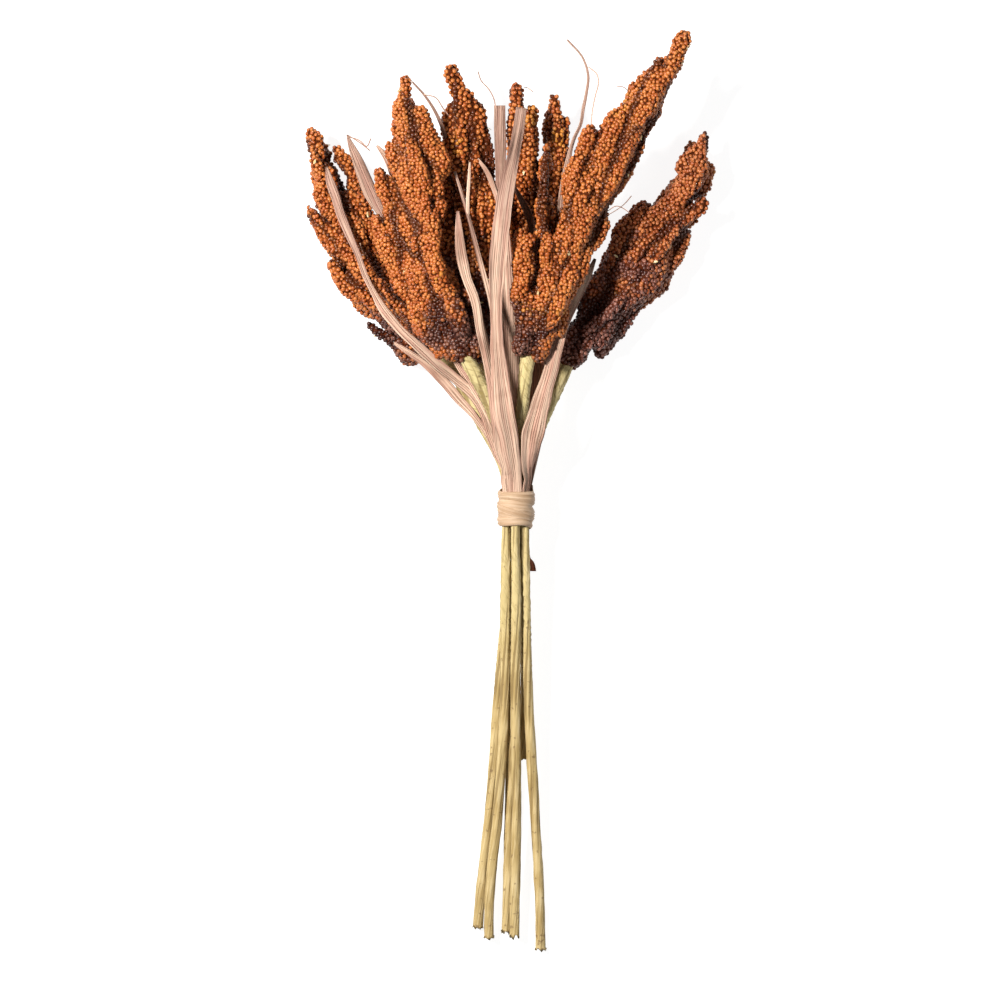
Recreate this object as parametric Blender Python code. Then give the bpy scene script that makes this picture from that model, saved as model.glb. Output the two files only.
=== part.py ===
"""A bunch of six dried millet heads on wrapped stems, with husk leaves, held by a wound tie. It lies flat.

Lengths are in millimetres until a mesh is made. +X is to the right of the bunch, +Y runs from the cut stem
ends to the seed heads, and +Z is up from the table at z = 0. The origin lies under the middle of the bunch.
"""

import math

import bmesh
import bpy
import numpy as np
from mathutils.bvhtree import BVHTree

for old in list(bpy.data.objects):
    bpy.data.objects.remove(old)

MM = 0.001
SOLVER = "EXACT"
UP = np.array((0.0, 0.0, 1.0))

# Seed heads. Each is a spray of branches that are covered with grains.
BUMP_STEP = 5.4          # spacing of the raised grains along a branch
BUMP_HEIGHT = 0.75       # how far grains stand out and the gaps between them sink in
THICK_BRANCH = 4.9       # a branch at least this thick has THICK_SIDES sides, a thinner one THIN_SIDES
THICK_SIDES = 8
THIN_SIDES = 6
TIP_SHARE = 0.52         # thickness at a branch's tip, as a share of its root
LONG_BRANCH = 50.0       # longer branches in front have a partner at the back
BACK_PULL = 0.93         # the partner is this much shorter
TABLE_SINK = 0.4         # how deep the lowest branches press into the table before they are cut flat
HEAD_FACES = 1600        # a joined head is thinned to about this many triangles
THINNING_TRIES = 20
THINNING_STEP = 0.02     # each new try keeps this share more
TIP_ROUNDING = 0.72      # thickness of a tip's last ring, and its place along the last step
TABLE_BLOCK = (-150, 0, -30), (150, 260, 0)
SEAT_GAP = 0.35          # clearance between a stem and its hole in the head

# Stems
STEM_RADIUS = 2.2        # in the tie
LOOSE_RADIUS = 2.5       # below the tie, reached over LOOSE_RUN
LOOSE_RUN = 40.0
WRAP_RADIUS = 3.4        # the thicker wrapping under each head, reached over WRAP_RUN from WRAP_START
WRAP_START = 12.0
WRAP_RUN = 50.0
STEM_SIDES = 8
STEM_STEP = 17.0

# The tie, and the six stems packed inside it
TIE_X, TIE_Z = 3.75, 23.0
TIE_LOW, TIE_HIGH = -17.5, 2.0
RING_RADIUS = 4.9        # from the middle stem to the five around it
PIECE_GAP = 0.35
TIE_GAP = 0.6
LEAF_THICKNESS = 0.7
LEAF_RIB = 0.12          # height of a leaf's middle rib, as a share of its half width
LEAF_STEP = 10.5
LEAF_HELD = 8.0          # how far a leaf reaches into the tie
LEAF_FLARE = 0.9         # how far a leaf leans out just past the tie
LEAF_TURN_RUN = 25.0     # a leaf turns to face up over this run
BUNDLE_RADIUS = RING_RADIUS + STEM_RADIUS
LEAF_RING = BUNDLE_RADIUS + PIECE_GAP + LEAF_THICKNESS / 2
TIE_INNER = LEAF_RING + LEAF_THICKNESS / 2 + TIE_GAP
TIE_WALL = 0.9
TIE_TURNS = 4
TURN_EDGE = 0.8          # wall at a turn's edges, as a share of TIE_WALL
TURN_CREST = 1.25        # the same at its middle
TURN_ROUNDING = 0.4
TIE_SIDES = 20

# Every branch is (thickness at its root, points from root to tip). "middle" is the height of the head's
# middle, which its back is worked out from, or None where the list has the back branches too.
HEADS = {
    "head_front_left": {
        "middle": 45.0,
        "branches": [
            (8.0, (-20, 67, 42), (-26, 88, 44), (-36, 115, 46)),
            (6.6, (-28, 92, 46), (-41, 122, 49), (-47, 155, 51), (-51, 188, 53), (-52, 207.5, 54)),
            (6.0, (-45, 132, 47), (-53, 152, 47), (-57, 164, 47), (-59, 175, 47)),
            (5.6, (-47, 150, 49), (-53, 172, 50), (-55.5, 184, 51), (-55, 193.5, 52)),
            (6.2, (-42, 108, 45), (-54, 129, 44), (-60, 148, 43), (-63, 162, 43)),
            (5.6, (-47, 162, 49), (-44, 179, 50), (-42.5, 190, 50)),
            (5.8, (-44, 150, 50), (-42, 170, 51), (-40, 182, 52)),
            (6.6, (-40, 144, 49), (-36.5, 163, 49.5), (-35, 180, 49.5)),
            (6.6, (-38, 106, 51), (-38, 122, 53), (-36, 135, 53), (-35, 146, 52)),
            (6.6, (-23, 76, 46), (-27, 88, 50), (-34, 106, 53), (-39.5, 126, 53)),
            (6.6, (-30, 76, 44), (-44, 97, 43), (-54, 114, 42), (-62, 127, 40.5), (-68.5, 139, 39.5)),
            (6.2, (-26, 71.5, 42), (-39, 79, 40), (-54, 91.5, 38.5), (-66, 106, 37.5)),
            (6.0, (-44, 119, 52), (-44, 146.5, 55), (-45, 167, 56)),
            (6.6, (-29, 84, 47), (-39, 104, 50), (-48, 123, 50)),
            (5.8, (-22, 76, 43), (-21, 90, 43), (-23, 102, 43)),
        ],
    },
    "head_left": {
        "middle": 13.5,
        "branches": [
            (7.5, (-30, 63, 18), (-42, 76, 17), (-56, 92, 16)),
            (6.8, (-50, 88, 17), (-66, 106, 18), (-80, 126, 19), (-91, 144, 19), (-97, 162, 18),
             (-99.5, 180, 18)),
            (5.6, (-88, 144, 16), (-89, 156, 16), (-88.5, 166.5, 16)),
            (5.6, (-88, 148, 20), (-93, 163, 20), (-94, 174, 19)),
            (7.0, (-62, 98, 20), (-80, 118.5, 21), (-90, 129.5, 20), (-100, 142, 18)),
            (6.8, (-45, 78, 20), (-65, 91, 21), (-76, 100.5, 21), (-89, 115, 19)),
            (6.4, (-36, 68, 17), (-52, 73, 16), (-61, 79, 16), (-70, 86, 16)),
            (5.0, (-66, 124, 17), (-74, 147, 17), (-79, 161, 17), (-87.5, 174, 17)),
            (6.2, (-50, 86, 21), (-62, 102, 22), (-71, 122, 22), (-77, 140, 22), (-83, 152, 21)),
            (6.0, (-38, 71, 20), (-50, 84, 22), (-62, 97, 22), (-72, 115, 21)),
        ],
    },
    "head_front_right": {
        "middle": 46.0,
        "branches": [
            (8.0, (9.5, 68, 43), (14, 92, 45), (22, 116, 46)),
            (7.0, (18, 84, 46), (30, 116, 49), (44, 143, 50), (58, 172, 51), (72, 196, 53), (82, 212, 55),
             (85, 222, 56), (89, 228.5, 56)),
            (5.6, (62, 188, 52), (69.5, 205, 54), (77, 218.5, 55)),
            (6.4, (46, 158, 50), (56, 184, 52), (61, 197, 52), (65, 206.5, 52)),
            (6.0, (35, 132, 48), (44.5, 162, 48), (50.5, 176, 49), (53.5, 189.5, 49)),
            (6.8, (22, 98, 47), (29, 120, 50), (34.5, 148, 51), (38.5, 168, 50), (41.5, 181.5, 49)),
            (5.6, (36, 140, 49), (42, 160, 50), (44.5, 173, 50), (45, 181, 49)),
            (5.2, (60, 170, 46), (70, 183, 46), (77, 191.5, 46)),
            (5.6, (44, 136, 47), (58, 159, 47), (66.5, 171, 46), (71, 179.5, 46)),
            (5.4, (38, 126, 46), (49.5, 147, 45), (55.5, 155.5, 44), (61.5, 161, 44)),
            (6.4, (18, 86, 46), (30.5, 107.5, 47), (44, 123, 47), (51, 135, 46), (55, 145, 46)),
            (5.2, (68, 186, 49), (77, 199, 50), (83, 210, 52)),
            (6.0, (9, 76, 44), (6.5, 96.5, 45), (5.5, 116, 46), (7, 131, 46)),
            (5.4, (14, 80, 47), (18, 99, 50), (16.5, 118, 51), (15.5, 136, 51), (18, 158, 50),
             (19.5, 174, 49)),
            (6.2, (12, 74, 46), (20, 82, 50), (24, 99, 53), (26.5, 117, 53)),
            (5.4, (11, 90, 48), (12, 116, 51), (14.5, 131, 51)),
        ],
    },
    "head_right": {
        "middle": 13.5,
        "branches": [
            (8.0, (28, 64, 18), (36, 80, 17), (48, 98, 16)),
            (7.6, (42, 88, 17), (62, 118, 18), (78, 138, 19), (90, 154, 19), (95, 169, 18),
             (97.5, 181, 18)),
            (5.6, (90, 148, 17), (97, 158, 17), (99.5, 166, 17)),
            (5.0, (88, 158, 20), (91.5, 168, 20), (93, 175, 19)),
            (6.4, (72, 134, 19), (82, 152.5, 19), (87, 165, 18)),
            (6.4, (48, 104, 19), (61.5, 130, 20), (67.5, 142, 20), (70.5, 149.5, 19)),
            (6.4, (36, 80, 19), (46, 99, 20), (54, 118, 20), (59.5, 136.5, 19)),
            (6.2, (36, 76, 22), (52, 91.5, 24), (64, 105, 24), (78, 123, 24), (90, 138.5, 23),
             (98, 145, 22)),
            (5.8, (40, 74, 16), (54, 84, 15), (66, 98, 14), (77, 112, 14), (86.5, 124.5, 14),
             (92, 132.5, 14)),
            (5.8, (34, 73, 18), (47, 80.5, 17), (57, 87, 17), (65.5, 97.5, 17)),
            (5.8, (30, 72, 20), (33.5, 82, 22), (38.5, 97, 22), (43, 106.5, 21)),
            (3.8, (30, 68, 16), (36, 67.5, 14), (42, 68, 13)),
        ],
    },
    "head_back_left": {
        "middle": None,
        "branches": [
            (7.5, (-12, 64, 18), (-13, 90, 19), (-15, 115, 21)),
            (6.4, (-13, 96, 20), (-18, 130, 25), (-22.5, 160, 29), (-24.5, 190, 32), (-28, 214.5, 34)),
            (5.6, (-17, 150, 28), (-16.5, 176, 31), (-18, 191, 33), (-19, 202.5, 33)),
            (4.6, (-26, 170, 28), (-28, 189, 30), (-28.5, 200, 31)),
            (5.6, (-11, 130, 24), (-8.5, 158, 27), (-9.5, 172, 29), (-12, 184, 30), (-14, 194, 31)),
            (5.6, (-12, 94, 22), (-17, 121, 26), (-23, 140, 28), (-28, 152, 29), (-31, 163, 29)),
            (6.0, (-18, 96, 22), (-26, 116, 25), (-31, 136, 26), (-34, 155, 26), (-33, 166, 27)),
            (5.6, (-10, 84, 21), (-9.5, 112, 25), (-10.5, 130, 28), (-13, 148, 30), (-15, 165, 31)),
            (4.8, (-19, 128, 20), (-20, 150, 20), (-24, 172, 22)),
            (5.4, (-12, 76, 12), (-16, 100, 8), (-22, 126, 8), (-26, 148, 11)),
            (5.4, (-12, 80, 12), (-10, 104, 8), (-11, 128, 9), (-13, 152, 14)),
        ],
    },
    "head_back_middle": {
        "middle": None,
        "branches": [
            (7.5, (9, 64, 18), (8, 90, 17), (8, 118, 16)),
            (7.2, (7, 96, 17), (5, 140, 19), (4.5, 167, 21), (4.5, 192, 24), (4.5, 206.5, 26)),
            (6.0, (9, 110, 20), (11, 149, 21), (12, 167, 23), (13, 182, 25), (13, 193.5, 26)),
            (4.6, (26, 176, 22), (23.5, 190, 24), (23, 203, 26)),
            (6.6, (12, 108, 17), (23, 150, 18), (27, 176, 20), (27, 190, 22)),
            (6.0, (10, 90, 20), (13, 120, 21), (17, 150, 22), (19.5, 174, 23)),
            (5.4, (9, 76, 12), (6, 104, 7), (5, 130, 9), (6, 156, 13)),
            (5.4, (9, 80, 12), (14, 104, 7), (17, 126, 8), (20, 146, 11)),
        ],
    },
}

# Each stem is the head it carries, its place in the tie (degrees round the middle stem, None for the one in
# the middle), its points from the cut end up to the tie, and its points from the tie up into the head.
STEMS = {
    "stem_front_left": (
        "head_front_left", 90,
        [(3.2, -222.5, 7.6), (3.4, -206, 8.6), (4.3, -159, 13.2), (3.6, -102, 19), (4.2, -53.5, 24.4)],
        [(-11, 41.5, 36), (-19.5, 68.5, 41.5), (-23, 80, 43)],
    ),
    "stem_left": (
        "head_left", 162,
        [(-9.5, -221.5, 6), (-9.4, -206, 7), (-5.6, -159, 11.7), (-2.2, -102, 16.9), (-1.3, -53.5, 21.6)],
        [(-16.5, 41.5, 21), (-26.5, 60.5, 19), (-36, 70, 18)],
    ),
    "stem_back_left": (
        "head_back_left", 234,
        [(-15, -216.5, 2.6), (-14.2, -206, 3.2), (-10.3, -159, 7.4), (-6.2, -102, 11.8),
         (-0.7, -53.5, 15.6)],
        [(-9, 45, 19), (-12, 66, 18.5), (-12.5, 76, 18)],
    ),
    "stem_back_middle": (
        "head_back_middle", None,
        [(-0.7, -220.5, 2.6), (-0.4, -206, 3.6), (0.8, -159, 8.2), (2.2, -102, 13.4), (3.6, -53.5, 19)],
        [(7, 45, 19.5), (8.8, 66, 18.5), (8.5, 76, 18)],
    ),
    "stem_right": (
        "head_right", 306,
        [(7.6, -134, 7.4), (8, -118, 9), (8.6, -102, 10.4), (7.8, -53.5, 15)],
        [(19, 40, 19), (25.5, 55, 18.5), (33, 74, 18)],
    ),
    "stem_front_right": (
        "head_front_right", 18,
        [(16.4, -228.5, 2.6), (16, -206, 4.6), (13.4, -159, 9.2), (10.2, -102, 16.6), (8.9, -53.5, 21.2)],
        [(6.6, 38, 35), (9, 66.5, 42), (11, 80, 44)],
    ),
}

# Each leaf is its place round the tie in degrees, its width there, the points of its blade from the tie
# outwards as (x, y, z, width), and any torn strips that split off it.
LEAVES = {
    "leaf_left_long": (166, 1.6, [
        (-6.2, 11.5, 27.3, 3), (-8.5, 25, 27.5, 4.2), (-17, 39.5, 27.7, 5), (-31.5, 61.5, 34, 5),
        (-39, 69, 41.8, 4.5), (-54, 81.5, 47.6, 4), (-61.5, 90.5, 48.4, 5), (-66.5, 99, 46.4, 3.2),
        (-71.5, 109, 41, 3), (-75, 119, 37, 3), (-79, 126.5, 34, 4.5), (-84, 136.5, 31, 6),
        (-86.5, 146.5, 29, 5), (-91, 156.5, 28, 5), (-91.5, 164, 27, 1.2)]),
    "leaf_left_low": (188, 1.6, [
        (-7, 9, 21.5, 2.5), (-9.6, 21, 18.3, 3), (-14.8, 32, 17, 3.5), (-21.5, 42, 19, 3.5),
        (-30, 53, 24, 3), (-40, 62, 28, 3), (-50, 70, 29, 2.5), (-57, 75, 28, 1)]),
    "leaf_left_folded": (152, 1.6, [
        (-4.4, 11.5, 30.6, 2), (-9.5, 25, 31, 2.5), (-14, 39, 31.4, 3.5), (-24, 62, 31, 4),
        (-34, 84, 30.8, 5), (-46, 108, 30.8, 5), (-56, 128, 31, 5), (-62, 138, 32, 6),
        (-67.5, 147, 33, 7.5), (-72.3, 161.5, 34, 8), (-77, 172, 35, 5), (-80, 178.5, 35, 1.2)],
        [(-52, 120, 31, 2), (-54, 138, 33.5, 3), (-56, 155, 36, 3), (-61, 168, 37, 3),
         (-65.5, 173.5, 38, 1.2)]),
    "leaf_left_wisp": (138, 1.6, [
        (-2, 11.5, 32.6, 1.8), (-2.4, 22, 35.8, 2), (-2.4, 32, 36.5, 2.4), (-5.5, 50, 34.5, 3),
        (-9.8, 68, 31.5, 3.5), (-14, 88, 31.5, 4), (-20, 110, 33.5, 4), (-25, 130, 35.5, 3.5),
        (-27.5, 150, 37.5, 3), (-29, 165, 39, 2.5), (-29.5, 176.5, 41, 2.5), (-32.5, 182.5, 44, 2),
        (-36.5, 190.5, 48, 1.6), (-41.5, 198, 52, 1.2), (-47.5, 204.5, 55, 0.9)]),
    "leaf_centre_left": (124, 1.6, [
        (-2.6, 11.5, 34.9, 2.2), (-4.8, 22, 38.5, 3.5), (-6, 35, 42, 4.5), (-8, 54, 45, 5),
        (-10.5, 66.5, 47.5, 4.5), (-14, 81.5, 50.5, 4.5), (-16.5, 96.5, 51.5, 4.5), (-20.5, 106.5, 51, 5),
        (-23, 116.5, 50, 5.5), (-24.3, 129, 48, 4.5), (-25, 140.5, 46, 1.5)]),
    "leaf_centre_thin": (111, 1.4, [
        (-0.4, 11.5, 36.7, 1.7), (-3, 25, 42.2, 2.2), (-4, 40, 46, 2.5), (-4.5, 56, 47.5, 2.5),
        (-5.5, 76.5, 46.5, 2.5), (-9, 96.5, 44, 2.5), (-15.5, 121.5, 41.5, 2.5), (-21.5, 144, 40.5, 2),
        (-26.5, 160.5, 41, 1.2)],
        [(-20, 138, 40.8, 1.6), (-20, 149, 41.5, 1.8), (-19.5, 157, 42, 1.8), (-19, 165, 42, 1)]),
    "leaf_centre": (90, 3.2, [
        (2.8, 11, 38.4, 4.2), (0, 25, 46, 9), (-2, 38, 51, 11.5), (-4, 60, 54.5, 9.5), (-6, 90, 54.5, 6),
        (-5.5, 115, 54.5, 6.5), (-4, 136, 53, 7), (0.5, 161.5, 52, 6), (5, 181, 50, 5.5),
        (6.5, 191, 49, 4.5)]),
    "leaf_right_broad": (52, 3.6, [
        (9.5, 10, 33, 6.5), (11.7, 26.5, 39, 11), (13.7, 36.5, 42, 12), (16.7, 51.5, 44, 11),
        (21.7, 61.5, 42.5, 8), (25.7, 76.5, 39.5, 6.5), (33.5, 96.5, 36.3, 5), (39, 106.5, 35.6, 5.5),
        (45.5, 119, 35, 1.5)]),
    "leaf_right_short": (16, 1.8, [
        (12.5, 15, 27, 2.5), (13.5, 40, 30, 5), (14, 60, 31, 6.5), (13.5, 75, 31, 6), (12, 92, 31, 4.5),
        (12, 110, 31.5, 4), (11.5, 135, 34, 4), (6.5, 146.5, 38, 3), (2.5, 154, 40, 1.2)]),
    "leaf_right_wisp": (354, 1.6, [
        (14, 16, 24, 2), (18, 42, 26.5, 2.5), (20, 64, 30, 3), (20.5, 84, 31.5, 3), (21.5, 106, 32, 2.5),
        (23.5, 124, 34.5, 1.8), (24, 137, 38.5, 1.8), (26.5, 152, 42, 1.8), (29.5, 166, 43, 1.8),
        (33, 177, 43, 1.8), (36.2, 184, 43, 1.8), (37.5, 191.5, 44, 1.6), (39, 199, 45, 1.5),
        (40, 208, 46, 1.3), (37.5, 216.5, 47, 1.1), (29.5, 226, 47, 0.9)]),
    "leaf_tail": (4, 2, [
        (12.2, -26, 23.6, 3), (13.2, -33.5, 23.6, 3), (14, -37.8, 23.4, 2.6)]),
    "leaf_centre_back": (270, 2.2, [
        (2.5, 12, 15, 2.5), (0.6, 30, 19, 3.5), (0, 42, 22.8, 4.5), (0.2, 53, 25.8, 6.5), (0.5, 70, 29.5, 8),
        (0, 100, 33.5, 7), (-2, 130, 35.5, 6), (-4, 160, 37, 4.5), (-4, 181.5, 38, 5), (-4.7, 192, 38, 4.5),
        (-8, 198, 38, 1.5), (-13.5, 205.5, 38, 0.9)],
        [(-4, 142, 36.2, 2), (-7, 152, 37.5, 2.5), (-10.5, 160.5, 38, 2.5), (-15, 167, 38.5, 1.2)]),
}


def smooth_path(points, step):
    """Evenly spaced places on one smooth curve through the points. Columns after x, y, z go with them."""
    held = np.array(points, float)
    knots = np.concatenate([[0], np.cumsum(np.linalg.norm(np.diff(held[:, :3], axis=0), axis=1))])
    slope = np.gradient(held, knots, axis=0)
    places = np.linspace(0, knots[-1], max(2, round(knots[-1] / step)) + 1)
    i = np.clip(np.searchsorted(knots, places) - 1, 0, len(held) - 2)
    gap = (knots[i + 1] - knots[i])[:, None]
    u = (places - knots[i])[:, None] / gap
    start = (2 * u**3 - 3 * u**2 + 1) * held[i] + (u**3 - 2 * u**2 + u) * gap * slope[i]
    end = (3 * u**2 - 2 * u**3) * held[i + 1] + (u**3 - u**2) * gap * slope[i + 1]
    return start + end, places


def across(path):
    """Two unit directions square to the path at each of its places: sideways, and the way up."""
    along = np.gradient(path[:, :3], axis=0)
    along /= np.linalg.norm(along, axis=1)[:, None]
    side = np.cross(along, UP)
    side /= np.linalg.norm(side, axis=1)[:, None]
    return side, np.cross(side, along)


def new_object(name, vertices, faces, finish=None):
    """One closed object with its faces pointing out."""
    mesh = bpy.data.meshes.new(name)
    shape = bmesh.new()
    placed = [shape.verts.new([float(v) * MM for v in vertex]) for vertex in vertices]
    for face in faces:
        shape.faces.new([placed[i] for i in face])
    bmesh.ops.recalc_face_normals(shape, faces=shape.faces)
    shape.to_mesh(mesh)
    shape.free()
    if finish:
        mesh.materials.append(finish)
    made = bpy.data.objects.new(name, mesh)
    bpy.context.scene.collection.objects.link(made)
    return made


def material(name, colour, roughness):
    """A plain finish with its own colour."""
    made = bpy.data.materials.new(name)
    made.use_nodes = True
    shader = made.node_tree.nodes["Principled BSDF"]
    shader.inputs["Base Color"].default_value = (*colour, 1)
    shader.inputs["Roughness"].default_value = roughness
    shader.inputs["Metallic"].default_value = 0
    return made


def tube(name, path, radii, sides, finish, raised=0.0):
    """A tube along a path, pointed at both ends. raised lifts every second corner into a grain."""
    side, lift = across(path)
    turn = np.arange(sides) * 2 * np.pi / sides
    rings = range(1, len(path) - 1)
    vertices = []
    for i in rings:
        grain = np.where((i + np.arange(sides)) % 2 == 0, raised, -raised)
        reach = (radii[i] + grain * min(1.0, radii[i] / THICK_BRANCH))[:, None]
        ring = np.cos(turn)[:, None] * side[i] + np.sin(turn)[:, None] * lift[i]
        vertices.extend(path[i, :3] + reach * ring)
    faces = []
    for row, i in enumerate(rings[:-1]):
        for j in range(sides):
            k = (j + 1) % sides
            a, b = row * sides + j, row * sides + k
            c, d = b + sides, a + sides
            faces += [(a, b, d), (b, c, d)] if (i + j) % 2 == 0 else [(a, b, c), (a, c, d)]
    first, last = len(vertices), len(vertices) + 1
    end = (len(rings) - 1) * sides
    for j in range(sides):
        k = (j + 1) % sides
        faces += [(j, k, first), (end + j, end + k, last)]
    vertices += [path[0, :3], path[-1, :3]]
    return new_object(name, vertices, faces, finish)


def branch(name, thickness, points, finish):
    """One branch of a seed head: it thins towards a round tip, and raised grains cover it."""
    path, run = smooth_path(points, BUMP_STEP)
    share = run / run[-1]
    radii = thickness * (1 - (1 - TIP_SHARE) * share**2)
    path = np.insert(path, -1, path[-1] * TIP_ROUNDING + path[-2] * (1 - TIP_ROUNDING), axis=0)
    radii = np.insert(radii, -1, radii[-1] * TIP_ROUNDING)
    sides = THICK_SIDES if thickness >= THICK_BRANCH else THIN_SIDES
    return tube(name, path, radii, sides, finish, BUMP_HEIGHT)


def back_branches(middle, branches):
    """Partners at the back for the long branches in front, no lower than the table lets them lie."""
    made = []
    for thickness, *points in branches:
        points = np.array(points, float)
        reach = np.linalg.norm(points[-1] - points[0])
        if reach < LONG_BRANCH or points[:, 2].mean() < middle + 2:
            continue
        points[:, :2] = points[0, :2] + (points[:, :2] - points[0, :2]) * BACK_PULL
        points[:, 2] = np.maximum(2 * middle - points[:, 2], thickness - TABLE_SINK)
        made.append((thickness, *points))
    return made


def apply_modifiers(target):
    """The object's mesh becomes what its modifiers make of it."""
    graph = bpy.context.evaluated_depsgraph_get()
    graph.update()
    target.data = bpy.data.meshes.new_from_object(target.evaluated_get(graph))
    target.modifiers.clear()


def boolean(target, operation, others):
    """One Boolean of target with all of others, applied. The others are then removed."""
    group = bpy.data.collections.new("operands")
    for other in others:
        group.objects.link(other)
    modifier = target.modifiers.new("join", "BOOLEAN")
    modifier.operation = operation
    modifier.operand_type = "COLLECTION"
    modifier.collection = group
    modifier.solver = SOLVER
    apply_modifiers(target)
    for other in others:
        bpy.data.objects.remove(other)
    bpy.data.collections.remove(group)


def keep_largest(target):
    """Fills the sealed gaps between joined branches, and drops loose scraps: only the outer body stays."""
    shape = bmesh.new()
    shape.from_mesh(target.data)
    left = set(shape.verts)
    bodies = []
    while left:
        body = {left.pop()}
        edge = list(body)
        while edge:
            near = {e.other_vert(v) for v in edge for e in v.link_edges} - body
            body |= near
            edge = list(near)
        left -= body
        bodies.append(body)
    bodies.sort(key=len)
    bmesh.ops.delete(shape, geom=[v for body in bodies[:-1] for v in body], context="VERTS")
    shape.to_mesh(target.data)
    shape.free()


def crossings(target):
    """How many pairs of the mesh's faces cross that share no corner."""
    shape = bmesh.new()
    shape.from_mesh(target.data)
    tree = BVHTree.FromBMesh(shape)
    corners = [set(v.index for v in face.verts) for face in shape.faces]
    shape.free()
    return sum(a < b and not corners[a] & corners[b] for a, b in tree.overlap(tree))


def thin_out(target, faces):
    """Takes the many slim triangles at the joints away. Each try keeps a few more, until no faces cross."""
    whole = target.data
    whole.calc_loop_triangles()
    triangles = len(whole.loop_triangles)
    for n in range(THINNING_TRIES):
        target.data = whole.copy()
        modifier = target.modifiers.new("thin", "DECIMATE")
        modifier.ratio = min(1, faces * (1 + THINNING_STEP * n) / triangles)
        modifier.use_collapse_triangulate = True
        apply_modifiers(target)
        if not crossings(target):
            return


def box(name, low, high):
    """A plain block between two opposite corners."""
    corners = [(x, y, z) for x in (low[0], high[0]) for y in (low[1], high[1])
               for z in (low[2], high[2])]
    faces = [(0, 1, 3, 2), (4, 6, 7, 5), (0, 4, 5, 1), (2, 3, 7, 6), (0, 2, 6, 4), (1, 5, 7, 3)]
    return new_object(name, corners, faces)


def stem_route(place, below, above):
    """The stem's points from its cut end through the tie and up into its head."""
    x, z = TIE_X, TIE_Z
    if place is not None:
        x += RING_RADIUS * math.cos(math.radians(place))
        z += RING_RADIUS * math.sin(math.radians(place))
    return [*below, (x, TIE_LOW - 4, z), (x, (TIE_LOW + TIE_HIGH) / 2, z), (x, TIE_HIGH + 3, z), *above]


def capped_tube(name, points, radius_at, sides, step, finish):
    """A tube along points with flat ends."""
    path, run = smooth_path(points, step)
    side, lift = across(path)
    turn = np.arange(sides) * 2 * np.pi / sides
    vertices = []
    for i, place in enumerate(path):
        reach = radius_at(place[1])
        vertices.extend(place + reach * (np.cos(turn)[:, None] * side[i] + np.sin(turn)[:, None] * lift[i]))
    faces = [tuple(range(sides)), tuple(len(vertices) - sides + j for j in range(sides))]
    for i in range(len(path) - 1):
        for j in range(sides):
            k = (j + 1) % sides
            faces.append((i * sides + j, i * sides + k, (i + 1) * sides + k, (i + 1) * sides + j))
    return new_object(name, vertices, faces, finish)


def stem_radius(y, extra=0.0):
    """Thin where the tie presses, thicker on either side of it, and most under the head."""
    lower = (LOOSE_RADIUS - STEM_RADIUS) * min(1, max(0, (TIE_LOW - y) / LOOSE_RUN))
    upper = (WRAP_RADIUS - STEM_RADIUS) * min(1, max(0, (y - WRAP_START) / WRAP_RUN))
    return STEM_RADIUS + lower + upper + extra


def make_head(name, head, finish):
    """A seed head: all its branches joined into one solid and thinned."""
    branches = list(head["branches"])
    if head["middle"] is not None:
        branches += back_branches(head["middle"], branches)
    parts = [branch(f"{name}_{n}", thickness, points, finish)
             for n, (thickness, *points) in enumerate(branches)]
    whole = parts[0]
    whole.name = name
    boolean(whole, "UNION", parts[1:])
    keep_largest(whole)
    thin_out(whole, HEAD_FACES)
    return whole


def make_stem(name, stem, heads, finish):
    """A stem, and the hole that it sits in."""
    head, place, below, above = stem
    route = stem_route(place, below, above)
    last, before = np.array(route[-1], float), np.array(route[-2], float)
    deeper = last + (last - before) / np.linalg.norm(last - before) * PIECE_GAP
    hole = capped_tube("hole", [*route[:-1], tuple(deeper)], lambda y: stem_radius(y, SEAT_GAP),
                       STEM_SIDES, STEM_STEP, finish)
    boolean(heads[head], "DIFFERENCE", [hole])
    return capped_tube(name, route, stem_radius, STEM_SIDES, STEM_STEP, finish)


def blade(name, path, held, finish):
    """A thin blade with a raised middle rib. It faces the way held at the tie, and up once it is clear."""
    along = np.gradient(path[:, :3], axis=0)
    along /= np.linalg.norm(along, axis=1)[:, None]
    vertices = []
    for i, spot in enumerate(path):
        clear = max(spot[1] - TIE_HIGH, TIE_LOW - spot[1])
        turn = min(1, max(0, (clear - 2) / LEAF_TURN_RUN))
        facing = held * (1 - turn) + UP * turn
        side = np.cross(along[i], facing)
        side /= np.linalg.norm(side)
        out = np.cross(side, along[i])
        half, thick = spot[3] / 2, LEAF_THICKNESS / 2
        rib = LEAF_RIB * half
        section = ((thick, -half), (thick + rib, 0), (thick, half),
                   (-thick, half), (-thick + rib, 0), (-thick, -half))
        vertices.extend(spot[:3] + side * across_leaf + out * height for height, across_leaf in section)
    count = len(section)
    end = len(vertices) - count
    faces = [(0, 1, 4, 5), (1, 2, 3, 4)]
    faces += [tuple(end + i for i in face) for face in faces]
    for row in range(0, end, count):
        for j in range(count):
            k = (j + 1) % count
            a, b, c, d = row + j, row + k, row + count + k, row + count + j
            # The upper and lower skins are split along the same diagonal, so that they never cross.
            faces += [(a, b, c), (a, c, d)] if j < count / 2 else [(a, b, d), (b, c, d)]
    return new_object(name, vertices, faces, finish)


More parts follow.
